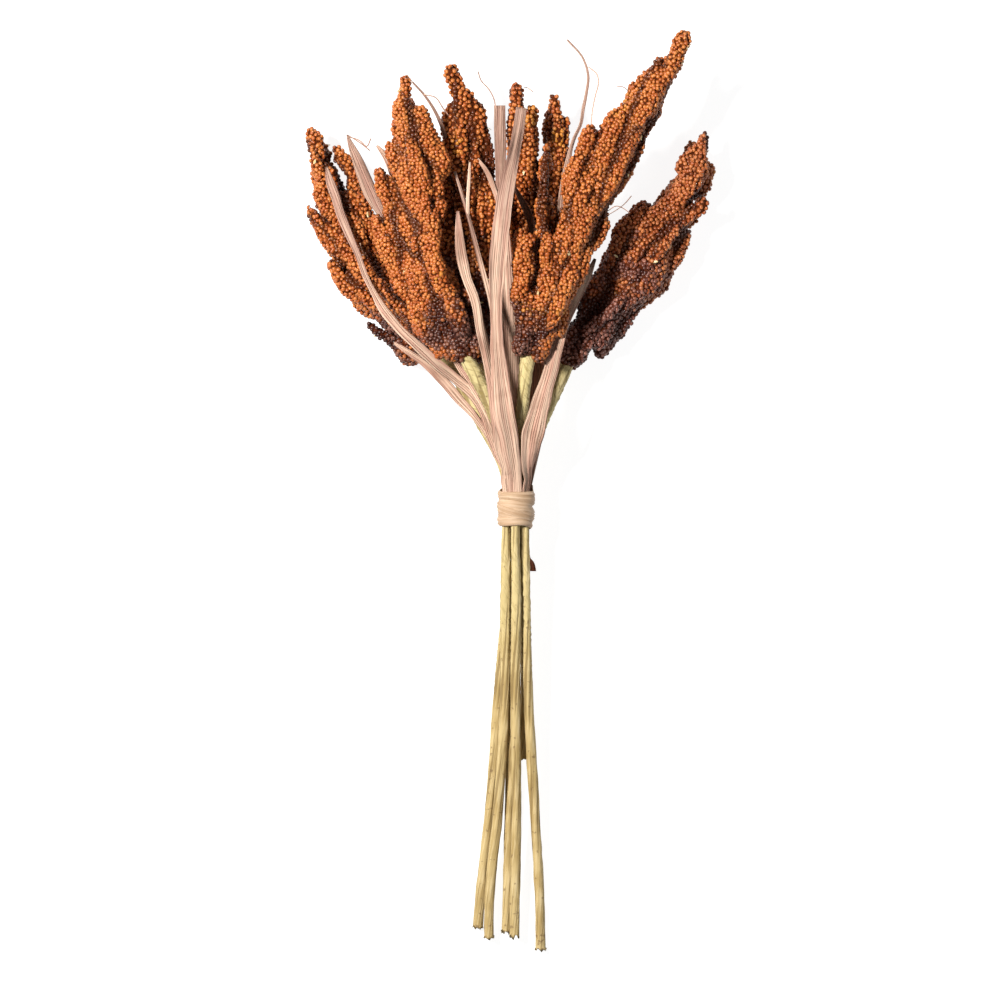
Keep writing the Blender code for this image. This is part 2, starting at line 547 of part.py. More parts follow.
def make_leaf(name, leaf, finish):
    """A leaf, held under the tie at its lower end, with the strips that split off it."""
    place, neck, points, *strips = leaf
    angle = math.radians(place)
    held = np.array((math.cos(angle), 0.0, math.sin(angle)))
    edge, way = (TIE_HIGH, 1) if points[0][1] > TIE_HIGH else (TIE_LOW, -1)
    tie = np.array((TIE_X, edge, TIE_Z))
    start = [(*(tie + held * reach + (0, run * way, 0)), neck) for reach, run in (
        (LEAF_RING, -LEAF_HELD), (LEAF_RING, 0.5), (LEAF_RING + LEAF_FLARE, 5))]
    whole = blade(name, smooth_path([*start, *points], LEAF_STEP)[0], held, finish)
    if strips:
        boolean(whole, "UNION", [blade("strip", smooth_path(strip, LEAF_STEP)[0], UP, finish)
                                 for strip in strips])
    return whole


def make_tie(finish):
    """The tie: strips wound round the bundle, each turn a low ridge."""
    height = TIE_HIGH - TIE_LOW
    outline = [(TIE_INNER, TIE_LOW), (TIE_INNER, TIE_HIGH)]
    for n in reversed(range(TIE_TURNS)):
        low = TIE_LOW + height * n / TIE_TURNS
        high = low + height / TIE_TURNS
        outline += [(TIE_INNER + TIE_WALL * TURN_EDGE, high - TURN_ROUNDING),
                    (TIE_INNER + TIE_WALL * TURN_CREST, (low + high) / 2),
                    (TIE_INNER + TIE_WALL * TURN_EDGE, low + TURN_ROUNDING)]
    vertices, faces = [], []
    for i in range(TIE_SIDES):
        angle = 2 * np.pi * i / TIE_SIDES
        for reach, y in outline:
            vertices.append((TIE_X + reach * math.cos(angle), y, TIE_Z + reach * math.sin(angle)))
    count = len(outline)
    for i in range(TIE_SIDES):
        for j in range(count):
            a, b = i * count + j, i * count + (j + 1) % count
            c, d = (b + count) % len(vertices), (a + count) % len(vertices)
            faces.append((a, b, c, d))
    return new_object("tie", vertices, faces, finish)


def main():
    """Makes every piece of the bunch."""
    grain = material("grain", (0.52, 0.2, 0.07), 0.6)
    dark_grain = material("dark grain", (0.2, 0.08, 0.05), 0.65)
    wrap = material("stem wrap", (0.62, 0.52, 0.26), 0.75)
    husk = material("husk", (0.6, 0.42, 0.32), 0.8)
    raffia = material("raffia", (0.72, 0.53, 0.34), 0.7)

    heads = {name: make_head(name, head, dark_grain if name == "head_right" else grain)
             for name, head in HEADS.items()}
    for name, stem in STEMS.items():
        make_stem(name, stem, heads, wrap)
    for head in heads.values():
        if min(vertex.co.z for vertex in head.data.vertices) < 0:
            boolean(head, "DIFFERENCE", [box("table", *TABLE_BLOCK)])
    for name, leaf in LEAVES.items():
        make_leaf(name, leaf, husk)
    make_tie(raffia)


main()
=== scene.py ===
# %% [markdown]
# # A tied bunch of dried millet heads
#
# Six dried heads of millet lie on a pale table. Each head is a spray of fingers that are covered with
# round, orange-brown grains. Their stems are wrapped in yellow-green paper, dry husk leaves run up
# between them, and a strip of raffia ties the bunch. We start from the solids of the bunch, which say
# where every piece belongs.

# %% Load the solids
import math

import bmesh
import bpy
import numpy as np
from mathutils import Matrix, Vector, noise


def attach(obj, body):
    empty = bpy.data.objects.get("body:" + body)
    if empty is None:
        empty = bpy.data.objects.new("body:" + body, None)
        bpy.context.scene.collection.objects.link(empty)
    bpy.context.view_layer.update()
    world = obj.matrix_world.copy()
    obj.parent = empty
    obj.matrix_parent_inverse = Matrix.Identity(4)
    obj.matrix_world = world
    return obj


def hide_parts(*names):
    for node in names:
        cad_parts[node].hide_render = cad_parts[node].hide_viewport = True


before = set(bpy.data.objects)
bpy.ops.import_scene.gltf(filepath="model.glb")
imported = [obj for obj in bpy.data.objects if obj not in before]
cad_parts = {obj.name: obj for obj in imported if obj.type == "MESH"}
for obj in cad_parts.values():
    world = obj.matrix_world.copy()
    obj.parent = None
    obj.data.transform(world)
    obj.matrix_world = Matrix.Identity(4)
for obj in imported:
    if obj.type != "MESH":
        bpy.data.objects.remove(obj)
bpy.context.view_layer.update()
MM = 0.001
UP = np.array((0.0, 0.0, 1.0))

# %% [markdown]
# ## Writing node trees as formulas
#
# Materials and Geometry Nodes are both graphs of nodes. Placing them by hand takes many lines, so a
# small class wraps a socket and lets Python's operators add the Math nodes: `1 - mask` becomes a
# Subtract node. Every other node comes from one method, which makes the settings first, because they
# decide which sockets exist.

# %% A socket that can be calculated with
class Wire:
    """An output socket. Each operator adds one Math node and gives the wire that comes out of it."""

    def __init__(self, graph, socket):
        self.graph, self.socket = graph, socket

    def __add__(self, other):
        return self.graph.maths("ADD", self, other)

    def __sub__(self, other):
        return self.graph.maths("SUBTRACT", self, other)

    def __rsub__(self, other):
        return self.graph.maths("SUBTRACT", other, self)

    def __mul__(self, other):
        return self.graph.maths("MULTIPLY", self, other)

    def __truediv__(self, other):
        return self.graph.maths("DIVIDE", self, other)

    def __gt__(self, other):
        return self.graph.maths("GREATER_THAN", self, other)

    __radd__, __rmul__ = __add__, __mul__

    def ramp(self, low, high):
        """0 below low, 1 above high, and smooth between them."""
        return self.graph.node("ShaderNodeMapRange", {"interpolation_type": "SMOOTHSTEP"},
                               {"Value": self, "From Min": low, "From Max": high})


# %% A graph that nodes are added to
class Graph:
    """A node tree, of a material or of Geometry Nodes."""

    def __init__(self, tree):
        self.tree = tree

    def node(self, kind, settings={}, sockets={}, output=0):
        """One node: its type, then its settings, then the value or wire of each socket."""
        made = self.tree.nodes.new(kind)
        for name, value in settings.items():
            setattr(made, name, value)
        for key, value in sockets.items():
            found = made.inputs[key] if isinstance(key, int) else next(
                s for s in made.inputs if s.enabled and key in (s.name, s.identifier))
            self.feed(found, value)
        outputs = [s for s in made.outputs if s.enabled]
        found = outputs[output] if isinstance(output, int) else next(s for s in outputs if s.name == output)
        return Wire(self, found)

    def feed(self, socket, value):
        """A socket takes either a wire or a plain value."""
        for one in value if isinstance(value, list) else [value]:
            if isinstance(one, Wire):
                self.tree.links.new(one.socket, socket)
            else:
                socket.default_value = one

    def maths(self, operation, *values):
        """One Math node."""
        return self.node("ShaderNodeMath", {"operation": operation}, dict(enumerate(values)))


class Finish(Graph):
    """A material with one Principled shader. Colours are mixed by a mask."""

    def __init__(self, name, **constants):
        self.material = bpy.data.materials.new(name)
        self.material.use_nodes = True
        super().__init__(self.material.node_tree)
        self.shader = self.tree.nodes["Principled BSDF"]
        for key, value in constants.items():
            self.shader.inputs[key.replace("_", " ")].default_value = value

    def mix(self, mask, low, high):
        """The colour low where the mask is 0, and high where it is 1."""
        colours = [(*c, 1) if isinstance(c, tuple) else c for c in (low, high)]
        return self.node("ShaderNodeMix", {"data_type": "RGBA"},
                         {"Factor": mask, "A": colours[0], "B": colours[1]})

    def cloud(self, vector, scale, detail=2.0):
        """Smooth noise from about 0.3 to 0.7 round 0.5."""
        return self.node("ShaderNodeTexNoise", {}, {"Vector": vector, "Scale": scale, "Detail": detail})

    def attribute(self, name):
        """A number that each point of the piece carries."""
        return self.node("ShaderNodeAttribute", {"attribute_name": name}, output="Fac")

    def done(self, colour, roughness, height=None, depth=0.0002, strength=0.6):
        """Joins the colour, the roughness and the bump to the shader."""
        self.feed(self.shader.inputs["Base Color"], colour)
        self.feed(self.shader.inputs["Roughness"], roughness)
        if height is not None:
            bump = self.node("ShaderNodeBump", {},
                             {"Strength": strength, "Distance": depth, "Height": height})
            self.feed(self.shader.inputs["Normal"], bump)
        print("finish", self.material.name, "has", len(self.tree.nodes), "nodes")
        return self.material


# %% [markdown]
# ## The grains' finish
#
# A ripe grain is bright orange-tan with a soft shine. Towards the foot of a head the grains turn
# purple-brown, and the right head is darker all over. No two grains are alike, so each one carries three
# numbers that Geometry Nodes will give it: `ripe`, from its place in the head, `tone`, drawn at random,
# and one more, which is low for a grain that sits down in a gap or a furrow. The material reads all
# three and paints shade there: a grain in a gap turns deep red-brown.

# %% Grains
GOLDEN = (0.52, 0.2, 0.03)
# GAP_SHADE is painted shade: the colour that grains turn to down in gaps and furrows.
GAP_SHADE = (0.035, 0.004, 0.0007)


def grain_finish(name, ripe_colour, pale_colour, unripe_colour, grey_colour):
    """Ripe grains run from ripe_colour to pale_colour, and unripe ones from unripe_colour to grey_colour."""
    f = Finish(name, Specular_IOR_Level=0.45)
    tone, ripe, airy = f.attribute("tone"), f.attribute("ripe"), f.attribute("airy")
    place = f.node("ShaderNodeTexCoord", output="Object")
    skin, patch, golden = f.cloud(place, 1400.0, 3.0), f.cloud(place, 75.0, 2.0), f.cloud(place, 48.0, 1.0)
    light = f.mix((tone * 0.7 + skin * 0.3 + patch * 0.6).ramp(0.45, 1.2), ripe_colour, pale_colour)
    yellow = f.mix(golden.ramp(0.67, 0.75) * (tone > 0.4), light, GOLDEN)
    dark = f.mix((tone * 0.8 + skin * 0.4).ramp(0.3, 1.0), unripe_colour, grey_colour)
    colour = f.mix(ripe, dark, yellow)
    # Painted shade: grains that sit low in a gap or a furrow are mixed towards GAP_SHADE.
    shaded = f.mix((1 - airy.ramp(0.25, 0.88)) * 0.85, colour, GAP_SHADE)
    return f.done(shaded, 0.3 + skin * 0.2, skin, depth=0.00012, strength=0.4)


grain = grain_finish("grain", (0.335, 0.074, 0.011), (0.52, 0.172, 0.038),
                     (0.06, 0.016, 0.009), (0.19, 0.078, 0.052))
dark_grain = grain_finish("dark grain", (0.3, 0.068, 0.015), (0.47, 0.155, 0.045),
                          (0.1, 0.027, 0.017), (0.26, 0.105, 0.075))

# %% The stalks between the grains, darkened as painted shade
f = Finish("grain stalk", Specular_IOR_Level=0.1)
place = f.node("ShaderNodeTexCoord", output="Object")
streak = f.cloud(place, 500.0, 4.0)
# The stalk's brown is taken down to nearly black red-brown: painted shade for the gaps between the grains.
stalk = f.done(f.mix(streak, (0.035, 0.005, 0.0008), (0.11, 0.022, 0.003)), 0.8, streak)

# %% [markdown]
# ## The fingers of a head
#
# A head is a spray of fingers. Every finger is given by its thickness and a few points from its root to
# its tip, in millimetres, and a smooth curve runs through them. The photograph shows the front. The back
# isn't seen, so the long fingers get a partner there, as a real head is about as full behind.
#
# A head also says a few things of its own. `middle` is the height that the partners are mirrored about.
# The grains are dark round `foot`, as far as `dark` reaches. `lean` is how far the furrows between the
# fingers lean from the bunch's length, in degrees, and `spacing` is the least distance between two
# grains.

# %% Smooth curves
def smooth_path(points, step):
    """Even places on one smooth curve through the points, and how far along it each one is.

    Columns after x, y, z, such as a width, are carried along."""
    held = np.array(points, float)
    knots = np.concatenate([[0], np.cumsum(np.linalg.norm(np.diff(held[:, :3], axis=0), axis=1))])
    slope = np.gradient(held, knots, axis=0)
    places = np.linspace(0, knots[-1], max(2, round(knots[-1] / step)) + 1)
    i = np.clip(np.searchsorted(knots, places) - 1, 0, len(held) - 2)
    gap = (knots[i + 1] - knots[i])[:, None]
    u = (places - knots[i])[:, None] / gap
    start = (2 * u**3 - 3 * u**2 + 1) * held[i] + (u**3 - 2 * u**2 + u) * gap * slope[i]
    end = (3 * u**2 - 2 * u**3) * held[i + 1] + (u**3 - u**2) * gap * slope[i + 1]
    return start + end, places


def across(path):
    """Two unit directions square to the path at each of its places: sideways, and the way up."""
    along = np.gradient(path[:, :3], axis=0)
    along /= np.linalg.norm(along, axis=1)[:, None]
    side = np.cross(along, UP)
    side /= np.linalg.norm(side, axis=1)[:, None]
    return side, np.cross(side, along)


# %% The fingers of each head
HEADS = {
    "head_front_left": {
        "middle": 45.0, "foot": (-23, 80, 48), "dark": 19.0, "slot": "grain", "lean": 20, "spacing": 1.62,
        "fingers": [
            (8.0, (-20, 67, 42), (-26, 88, 44), (-36, 115, 46)),
            (7.5, (-28, 92, 46), (-41, 122, 49), (-47, 155, 51), (-50.5, 188, 53), (-51.5, 207, 54)),
            (6.0, (-45, 132, 47), (-53, 152, 47), (-57, 164, 47), (-59, 175, 47)),
            (5.6, (-47, 150, 49), (-53, 172, 50), (-55.5, 184, 51), (-55, 193.5, 52)),
            (6.2, (-42, 108, 45), (-54, 129, 44), (-60, 148, 43), (-63, 162, 43)),
            (6.4, (-48, 162, 50), (-45.5, 179, 51.5), (-44.5, 192, 52)),
            (6.4, (-44, 150, 50), (-41, 168, 51), (-37.5, 180, 52)),
            (6.6, (-40, 144, 49), (-36.5, 163, 49.5), (-35, 180, 49.5)),
            (6.6, (-38, 106, 51), (-38, 122, 53), (-36, 135, 53), (-35, 146, 52)),
            (6.6, (-23, 76, 46), (-27, 88, 50), (-34, 106, 53), (-39.5, 126, 53)),
            (6.6, (-30, 76, 44), (-44, 97, 43), (-54, 114, 42), (-62, 127, 40.5), (-68.5, 139, 39.5)),
            (6.2, (-26, 71.5, 42), (-39, 79, 40), (-54, 91.5, 38.5), (-66, 106, 37.5)),
            (6.0, (-44, 119, 52), (-44, 146.5, 55), (-45, 167, 56)),
            (6.6, (-29, 84, 47), (-39, 104, 50), (-48, 123, 50)),
            (5.8, (-22, 76, 43), (-21, 90, 43), (-23, 102, 43)),
            (5.6, (-38, 90, 40), (-50, 107, 38), (-57, 122, 37)),
        ],
    },
    "head_left": {
        "middle": 13.5, "foot": (-60, 75, 16), "dark": 18.0, "slot": "grain", "lean": 38, "spacing": 1.7,
        "fingers": [
            (7.5, (-30, 63, 18), (-42, 76, 17), (-56, 92, 16)),
            (8.0, (-50, 88, 17), (-64, 106, 18), (-77, 126, 19), (-87.5, 145, 19), (-94.5, 162, 18),
             (-99.5, 180.5, 18)),
            (5.6, (-88, 144, 16), (-89, 156, 16), (-88.5, 166.5, 16)),
            (5.6, (-88, 148, 20), (-93, 163, 20), (-94, 174, 19)),
            (6.8, (-62, 98, 20), (-80, 118.5, 21), (-91, 130, 20), (-101, 142.5, 18)),
            (6.2, (-45, 80, 20), (-65, 93, 21), (-77, 102, 21), (-90, 115, 19)),
            (6.2, (-36, 68, 17), (-52.5, 73.5, 16), (-62.5, 79, 16), (-71.5, 86, 16)),
            (5.0, (-66, 124, 17), (-74, 147, 17), (-79, 161, 17), (-87.5, 174, 17)),
            (6.2, (-50, 86, 21), (-62, 102, 22), (-71, 122, 22), (-77, 140, 22), (-83, 152, 21)),
            (6.0, (-38, 71, 20), (-50, 84, 22), (-62, 97, 22), (-72, 115, 21)),
            (6.2, (-46, 88, 14), (-57, 106, 13), (-65, 122, 14), (-70, 136, 16)),
        ],
    },
    "head_front_right": {
        "middle": 46.0, "foot": (5, 77, 50), "dark": 16.0, "slot": "grain", "lean": -22, "spacing": 1.65,
        "fingers": [
            (7.4, (10.5, 67.5, 41.5), (15, 90, 43), (22, 116, 44)),
            (7.0, (18, 84, 46), (30, 116, 49), (44, 143, 50), (58, 172, 51), (72, 196, 53), (82, 212, 55),
             (85, 222, 56), (89, 228.5, 56)),
            (5.6, (62, 188, 52), (69.5, 205, 54), (77, 218.5, 55)),
            (6.4, (46, 158, 50), (56, 183, 52), (60.5, 194, 52), (64.5, 203.5, 52)),
            (6.0, (35, 132, 48), (44.5, 162, 48), (50.5, 176, 49), (53.5, 189.5, 49)),
            (7.4, (22, 98, 47), (28, 120, 50), (33, 148, 51), (36.8, 168, 50), (39.8, 181, 49)),
            (5.6, (36, 140, 49), (42, 160, 50), (44.5, 173, 50), (45, 181, 49)),
            (5.2, (60, 170, 46), (70, 183, 46), (77, 191.5, 46)),
            (5.6, (44, 136, 47), (58, 159, 47), (66.5, 171, 46), (71, 179.5, 46)),
            (4.8, (38, 126, 46), (48.5, 147, 45), (54, 155, 44), (60, 160.5, 44)),
            (5.8, (18, 86, 46), (29.5, 107.5, 47), (40.5, 122, 47), (47, 134, 46), (51, 145.5, 46)),
            (5.2, (68, 186, 49), (77, 199, 50), (83, 210, 52)),
            (6.4, (8.5, 71.5, 44), (7.5, 84, 47), (6.5, 100, 48.5), (6.5, 116, 49), (8, 130.5, 48)),
            (5.4, (18, 80, 46), (21.5, 99, 49), (20, 118, 51), (17, 136, 51), (18, 158, 50),
             (19.5, 174, 49)),
            (5.6, (15.5, 74, 43), (20.5, 84, 48), (24.5, 99, 52), (26.5, 117, 53)),
            (4.6, (20, 80, 43), (26.5, 91, 46), (31.5, 103, 48)),
            (3.6, (10, 90, 46), (10.5, 116, 48), (13, 131, 49)),
        ],
    },
    "head_right": {
        "middle": 13.5, "foot": (40, 76, 18), "dark": 40.0, "slot": "dark_grain", "lean": -36,
        "spacing": 1.75,
        "fingers": [
            (8.0, (28, 64, 18), (36, 80, 17), (48, 98, 16)),
            (8.0, (42, 88, 17), (62, 118, 18), (79, 138, 19), (91.5, 154, 19), (96.5, 169, 18),
             (99, 181.5, 18)),
            (5.6, (90, 148, 17), (97, 158, 17), (99.5, 166, 17)),
            (5.0, (88, 158, 20), (91.5, 168, 20), (93, 175, 19)),
            (6.2, (73, 134, 19), (83.5, 151, 19), (89, 162.5, 18)),
            (8.0, (48, 104, 19), (61.5, 130, 20), (67, 141, 20), (69.5, 147.5, 19)),
            (6.4, (36, 80, 19), (46, 99, 20), (54, 118, 20), (59.5, 136.5, 19)),
            (7.0, (36, 76, 22), (52, 91.5, 24), (64, 105, 24), (78, 123, 24), (90, 138.5, 23),
             (98.5, 145.5, 22)),
            (8.6, (40, 74, 16), (54, 85, 15), (66, 99.5, 14.5), (77, 114, 15), (86, 127, 16),
             (91, 134, 17)),
            (5.8, (34, 73, 18), (47, 80.5, 17), (57, 87, 17), (65.5, 97.5, 17)),
            (5.8, (30, 72, 20), (33.5, 82, 22), (38.5, 97, 22), (43, 106.5, 21)),
            (6.2, (29, 69, 17), (35, 68, 15), (41, 67.5, 14)),
        ],
    },
    "head_back_left": {
        "middle": None, "foot": (-12, 66, 18), "dark": 50.0, "slot": "grain", "lean": 5, "spacing": 2.05,
        "fingers": [
            (8.4, (-12, 64, 18), (-14, 90, 19), (-16, 115, 21)),
            (7.4, (-13, 96, 20), (-18, 130, 27), (-22.5, 160, 34), (-25, 190, 39), (-28, 214, 41)),
            (6.2, (-17, 150, 31), (-17, 176, 36), (-18.5, 190, 38), (-20, 201.5, 38)),
            (5.4, (-26, 168, 34), (-28, 186, 37), (-28.5, 197, 38)),
            (5.8, (-11, 130, 26), (-8.5, 158, 32), (-9.5, 172, 34), (-12, 184, 35), (-14.5, 193, 36)),
            (5.6, (-12, 94, 22), (-17, 121, 26), (-23, 140, 28), (-28, 152, 29), (-31, 163, 29)),
            (7.2, (-18, 94, 22), (-26.5, 116, 25), (-31, 136, 27), (-34, 155, 28), (-33, 166, 29)),
            (6.4, (-16, 84, 20), (-27, 104, 24), (-35, 124, 26), (-38, 141, 27)),
            (5.6, (-10, 84, 21), (-9.5, 112, 25), (-10.5, 130, 28), (-13, 148, 30), (-15, 165, 31)),
            (4.8, (-19, 128, 20), (-20, 150, 20), (-24, 172, 22)),
            (5.4, (-12, 76, 12), (-16, 100, 8), (-22, 126, 8), (-26, 148, 11)),
            (5.4, (-12, 80, 12), (-10, 104, 8), (-11, 128, 9), (-13, 152, 14)),
        ],
    },
    "head_back_middle": {
        "middle": None, "foot": (9, 66, 18), "dark": 50.0, "slot": "grain", "lean": -3, "spacing": 2.05,
        "fingers": [
            (7.5, (9, 64, 18), (8, 90, 17), (8, 118, 16)),
            (8.8, (7, 96, 17), (5, 140, 21), (4.5, 167, 26), (4, 192, 31), (3, 205.5, 33)),
            (6.8, (9, 110, 20), (11, 149, 23), (12, 167, 28), (12.5, 182, 31), (12.5, 193, 32)),
            (6.0, (26, 172, 22), (23.5, 188, 24), (22.8, 201.5, 26)),
            (7.4, (12, 108, 17), (23, 150, 18), (27.5, 176, 20), (27.5, 189.5, 22)),
            (6.0, (10, 90, 20), (13, 120, 21), (17, 150, 22), (19.5, 174, 23)),
            (5.4, (9, 76, 12), (6, 104, 7), (5, 130, 9), (6, 156, 13)),
            (5.4, (9, 80, 12), (14, 104, 7), (17, 126, 8), (20, 146, 11)),
        ],
    },
}
LONG_FINGER = 50.0       # a finger at least this long gets a partner at the back
BACK_PULL = 0.93         # the partner is this much shorter
TABLE_SINK = 0.4         # how deep the lowest fingers press into the table
FRONT_RISE = 2           # a finger in front lies at least this far above the head's middle


def all_fingers(head):
    """The listed fingers, and a partner at the back for each long one in front."""
    made = list(head["fingers"])
    for thickness, *points in head["fingers"] if head["middle"] else []:
        points = np.array(points, float)
        short = np.linalg.norm(points[-1] - points[0]) < LONG_FINGER
        if short or points[:, 2].mean() < head["middle"] + FRONT_RISE:
            continue
        points[:, :2] = points[0, :2] + (points[:, :2] - points[0, :2]) * BACK_PULL
        points[:, 2] = np.maximum(2 * head["middle"] - points[:, 2], thickness - TABLE_SINK)
        made.append((thickness, *points))
    return made


print({name: len(all_fingers(head)) for name, head in HEADS.items()}, "fingers")

# %% [markdown]
# ## The stems' routes
#
# The stems are wound later, but a head has to know where its own stem comes in, because no grain grows
# there. Each stem goes with a head, has a place in the tie, as an angle round the middle one, and a few
# points below and above the tie. Between them all runs one smooth curve.

# %% Where the stems run
STEM_RADIUS, LOOSE_RADIUS, WRAP_RADIUS = 2.2, 2.5, 3.4      # in the tie, below it, and under a head
TIE_X, TIE_Z, TIE_LOW, TIE_HIGH = 3.75, 23.0, -17.5, 2.0
RING_RADIUS = 4.9        # from the middle stem in the tie to the five round it
STEMS = {
    "stem_front_left": (
        "head_front_left", 90,
        [(3.2, -222.5, 7.6), (3.4, -206, 8.6), (4.3, -159, 13.2), (3.6, -102, 19), (4.2, -53.5, 24.4)],
        [(-8, 41.5, 36), (-15.5, 58, 40), (-21.5, 69, 42), (-24, 80, 43)]),
    "stem_left": (
        "head_left", 162,
        [(-9.6, -223.5, 6), (-9.4, -206, 7), (-5, -159, 11.7), (-1.6, -102, 16.9), (-1.3, -53.5, 21.6)],
        [(-16.5, 41.5, 21), (-26.5, 60.5, 19), (-36, 70, 18)]),
    "stem_back_left": (
        "head_back_left", 234,
        [(-15.2, -218.5, 2.6), (-14.2, -206, 3.2), (-9.2, -159, 7.4), (-4.8, -102, 11.8),
         (-0.7, -53.5, 15.6)],
        [(-9, 45, 19), (-12, 66, 18.5), (-12.5, 76, 18)]),
    "stem_back_middle": (
        "head_back_middle", None,
        [(-0.7, -220.5, 2.6), (-0.4, -206, 3.6), (0.8, -159, 8.2), (2.2, -102, 13.4), (3.6, -53.5, 19)],
        [(7, 45, 19.5), (8.8, 66, 18.5), (8.5, 76, 18)]),
    "stem_right": (
        "head_right", 306,
        [(7.6, -134, 7.4), (8, -118, 9), (8.6, -102, 10.4), (7.8, -53.5, 15)],
        [(19, 40, 19), (25.5, 55, 18.5), (33, 74, 18)]),
    "stem_front_right": (
        "head_front_right", 18,
        [(16.4, -229.6, 2.6), (16, -206, 4.6), (13.4, -159, 9.2), (10.2, -102, 16.6), (8.9, -53.5, 21.2)],
        [(7, 38, 36), (9.4, 64, 42), (12.5, 80, 38)]),
}


def stem_route(name, step):
    """The smooth middle line of a stem, from its cut end through the tie and up into its head."""
    head, place, below, above = STEMS[name]
    x, z = TIE_X, TIE_Z
    if place is not None:
        x += RING_RADIUS * math.cos(math.radians(place))
        z += RING_RADIUS * math.sin(math.radians(place))
    held = [(x, TIE_LOW - 4, z), (x, (TIE_LOW + TIE_HIGH) / 2, z), (x, TIE_HIGH + 3, z)]
    return smooth_path([*below, *held, *above], step)


print({name: round(stem_route(name, 1.0)[1][-1]) for name in STEMS}, "mm of stem")

# %% [markdown]
# ## From fingers to one dark stalk
#
# The fingers overlap, so each one is first a closed tube with round ends, and a voxel remesh then melts
# the tubes of a head into a single skin. That skin is the stalk under the grains. It is a little thinner
# than the head, because the grains will stand on it, and it stops just above the table.

# %% Meshes from numbers
def new_piece(name, vertices, faces, uv=None):
    """A mesh object at the origin, from corners in millimetres. uv has a pair for each corner of a face."""
    mesh = bpy.data.meshes.new(name)
    mesh.from_pydata((np.asarray(vertices) * MM).tolist(), [], [tuple(map(int, face)) for face in faces])
    if uv is not None:
        mesh.uv_layers.new(name="UVMap").data.foreach_set("uv", np.asarray(uv, float).ravel())
    shape = bmesh.new()
    shape.from_mesh(mesh)
    bmesh.ops.recalc_face_normals(shape, faces=shape.faces)
    shape.to_mesh(mesh)
    shape.free()
    mesh.polygons.foreach_set("use_smooth", [True] * len(mesh.polygons))
    made = bpy.data.objects.new(name, mesh)
    bpy.context.scene.collection.objects.link(made)
    return made


def bake(piece):
    """The piece's mesh becomes what its modifiers make of it."""
    graph = bpy.context.evaluated_depsgraph_get()
    graph.update()
    piece.data = bpy.data.meshes.new_from_object(piece.evaluated_get(graph))
    piece.modifiers.clear()


# %% The stalk of a head
STALK_INSET = 1.25       # the stalk lies this far inside the head's outline
STALK_VOXEL = 1.5
FINGER_SIDES, FINGER_STEP = 12, 1.6
TIP_SHARE = 0.52         # thickness at a finger's tip, as a share of its root
TIP_LENGTH = 1.1         # a finger's tip is rounded over this many times its thickness
FINGER_DROP = 2.6, 1.0, 0.0     # fingers in turn lie this much lower, so that they stand apart
STEM_FREE = 0.7          # no grain grows nearer to the stem's paper than this
HEADS_FROM = 45          # the Y past which a stem is inside its head


def finger_tube(thickness, points):
    """Corners and faces of one closed finger with round ends."""
    path, run = smooth_path(points, FINGER_STEP)
    full = thickness * (1 - (1 - TIP_SHARE) * (run / run[-1]) ** 2) - STALK_INSET
    near_end = np.minimum(run, (run[-1] - run) / TIP_LENGTH) / full
    radii = full * np.sqrt(1 - np.clip(1 - near_end, 0, 1) ** 2)
    side, lift = across(path)
    turn = np.arange(FINGER_SIDES) * 2 * np.pi / FINGER_SIDES
    ring = np.cos(turn)[None, :, None] * side[:, None] + np.sin(turn)[None, :, None] * lift[:, None]
    rings = (path[:, None] + radii[:, None, None] * ring)[1:-1]
    count, faces = len(rings), []
    for j in range(FINGER_SIDES):
        k = (j + 1) % FINGER_SIDES
        faces += [(i * FINGER_SIDES + j, i * FINGER_SIDES + k, (i + 1) * FINGER_SIDES + k,
                   (i + 1) * FINGER_SIDES + j) for i in range(count - 1)]
        end = (count - 1) * FINGER_SIDES
        faces += [(k, j, count * FINGER_SIDES), (end + j, end + k, count * FINGER_SIDES + 1)]
    return np.vstack([rings.reshape(-1, 3), path[0], path[-1]]), faces


def head_stalk(name, head):
    """A head's fingers melted into one skin. Its attribute `open` is 0 where the stem comes in, else 1."""
    vertices, faces = [], []
    for number, (thickness, *points) in enumerate(all_fingers(head)):
        points = np.array(points, float)
        if 1 < number < len(head["fingers"]):       # the first two fingers carry the head
            points[1:, 2] -= FINGER_DROP[number % 3]
        corners, sides = finger_tube(thickness, points)
        start = sum(map(len, vertices))
        faces += [tuple(start + i for i in face) for face in sides]
        vertices.append(corners)
    made = new_piece(name, np.vstack(vertices), faces)
    modifier = made.modifiers.new("melt", "REMESH")
    modifier.mode = "VOXEL"
    modifier.voxel_size = STALK_VOXEL * MM
    bake(made)
    places = np.empty(len(made.data.vertices) * 3)
    made.data.vertices.foreach_get("co", places)
    places = places.reshape(-1, 3) / MM
    stem = next(stem for stem, parts in STEMS.items() if parts[0] == name)
    axis = stem_route(stem, 1.0)[0]
    axis = axis[axis[:, 1] > HEADS_FROM]
    gap = np.min(np.linalg.norm(places[:, None] - axis[None], axis=2), axis=1)
    made.data.attributes.new("open", "FLOAT", "POINT").data.foreach_set(
        "value", (gap > WRAP_RADIUS + STEM_FREE).astype(np.float32))
    print(name, "stalk has", len(made.data.polygons), "faces")
    return made


stalks = {name: head_stalk(name, head) for name, head in HEADS.items()}

# %% [markdown]
# ## Grains by Geometry Nodes
#
# Thousands of grains can't be placed by hand. Geometry Nodes first press furrows into the skin, which
# part it into narrow lumps. Then they scatter points on it that keep a least distance, as packed grains
# do, and put one grain on each. A second layer, a little deeper and wider apart, fills the gaps of the
# first. A grain seen at this size needs few faces: a dome of rings, closed underneath. A few pale husk
# flakes go on the same way. Realize Instances turns it all into one plain mesh in the end.

# %% One grain and one flake
GRAIN_RADIUS = 1.23
GRAIN_SIDES, GRAIN_RINGS = 7, (-8, 42)      # the rings' latitudes, in degrees
FLAKE_LENGTH, FLAKE_WIDTH, FLAKE_THICKNESS = 4.2, 1.5, 0.16


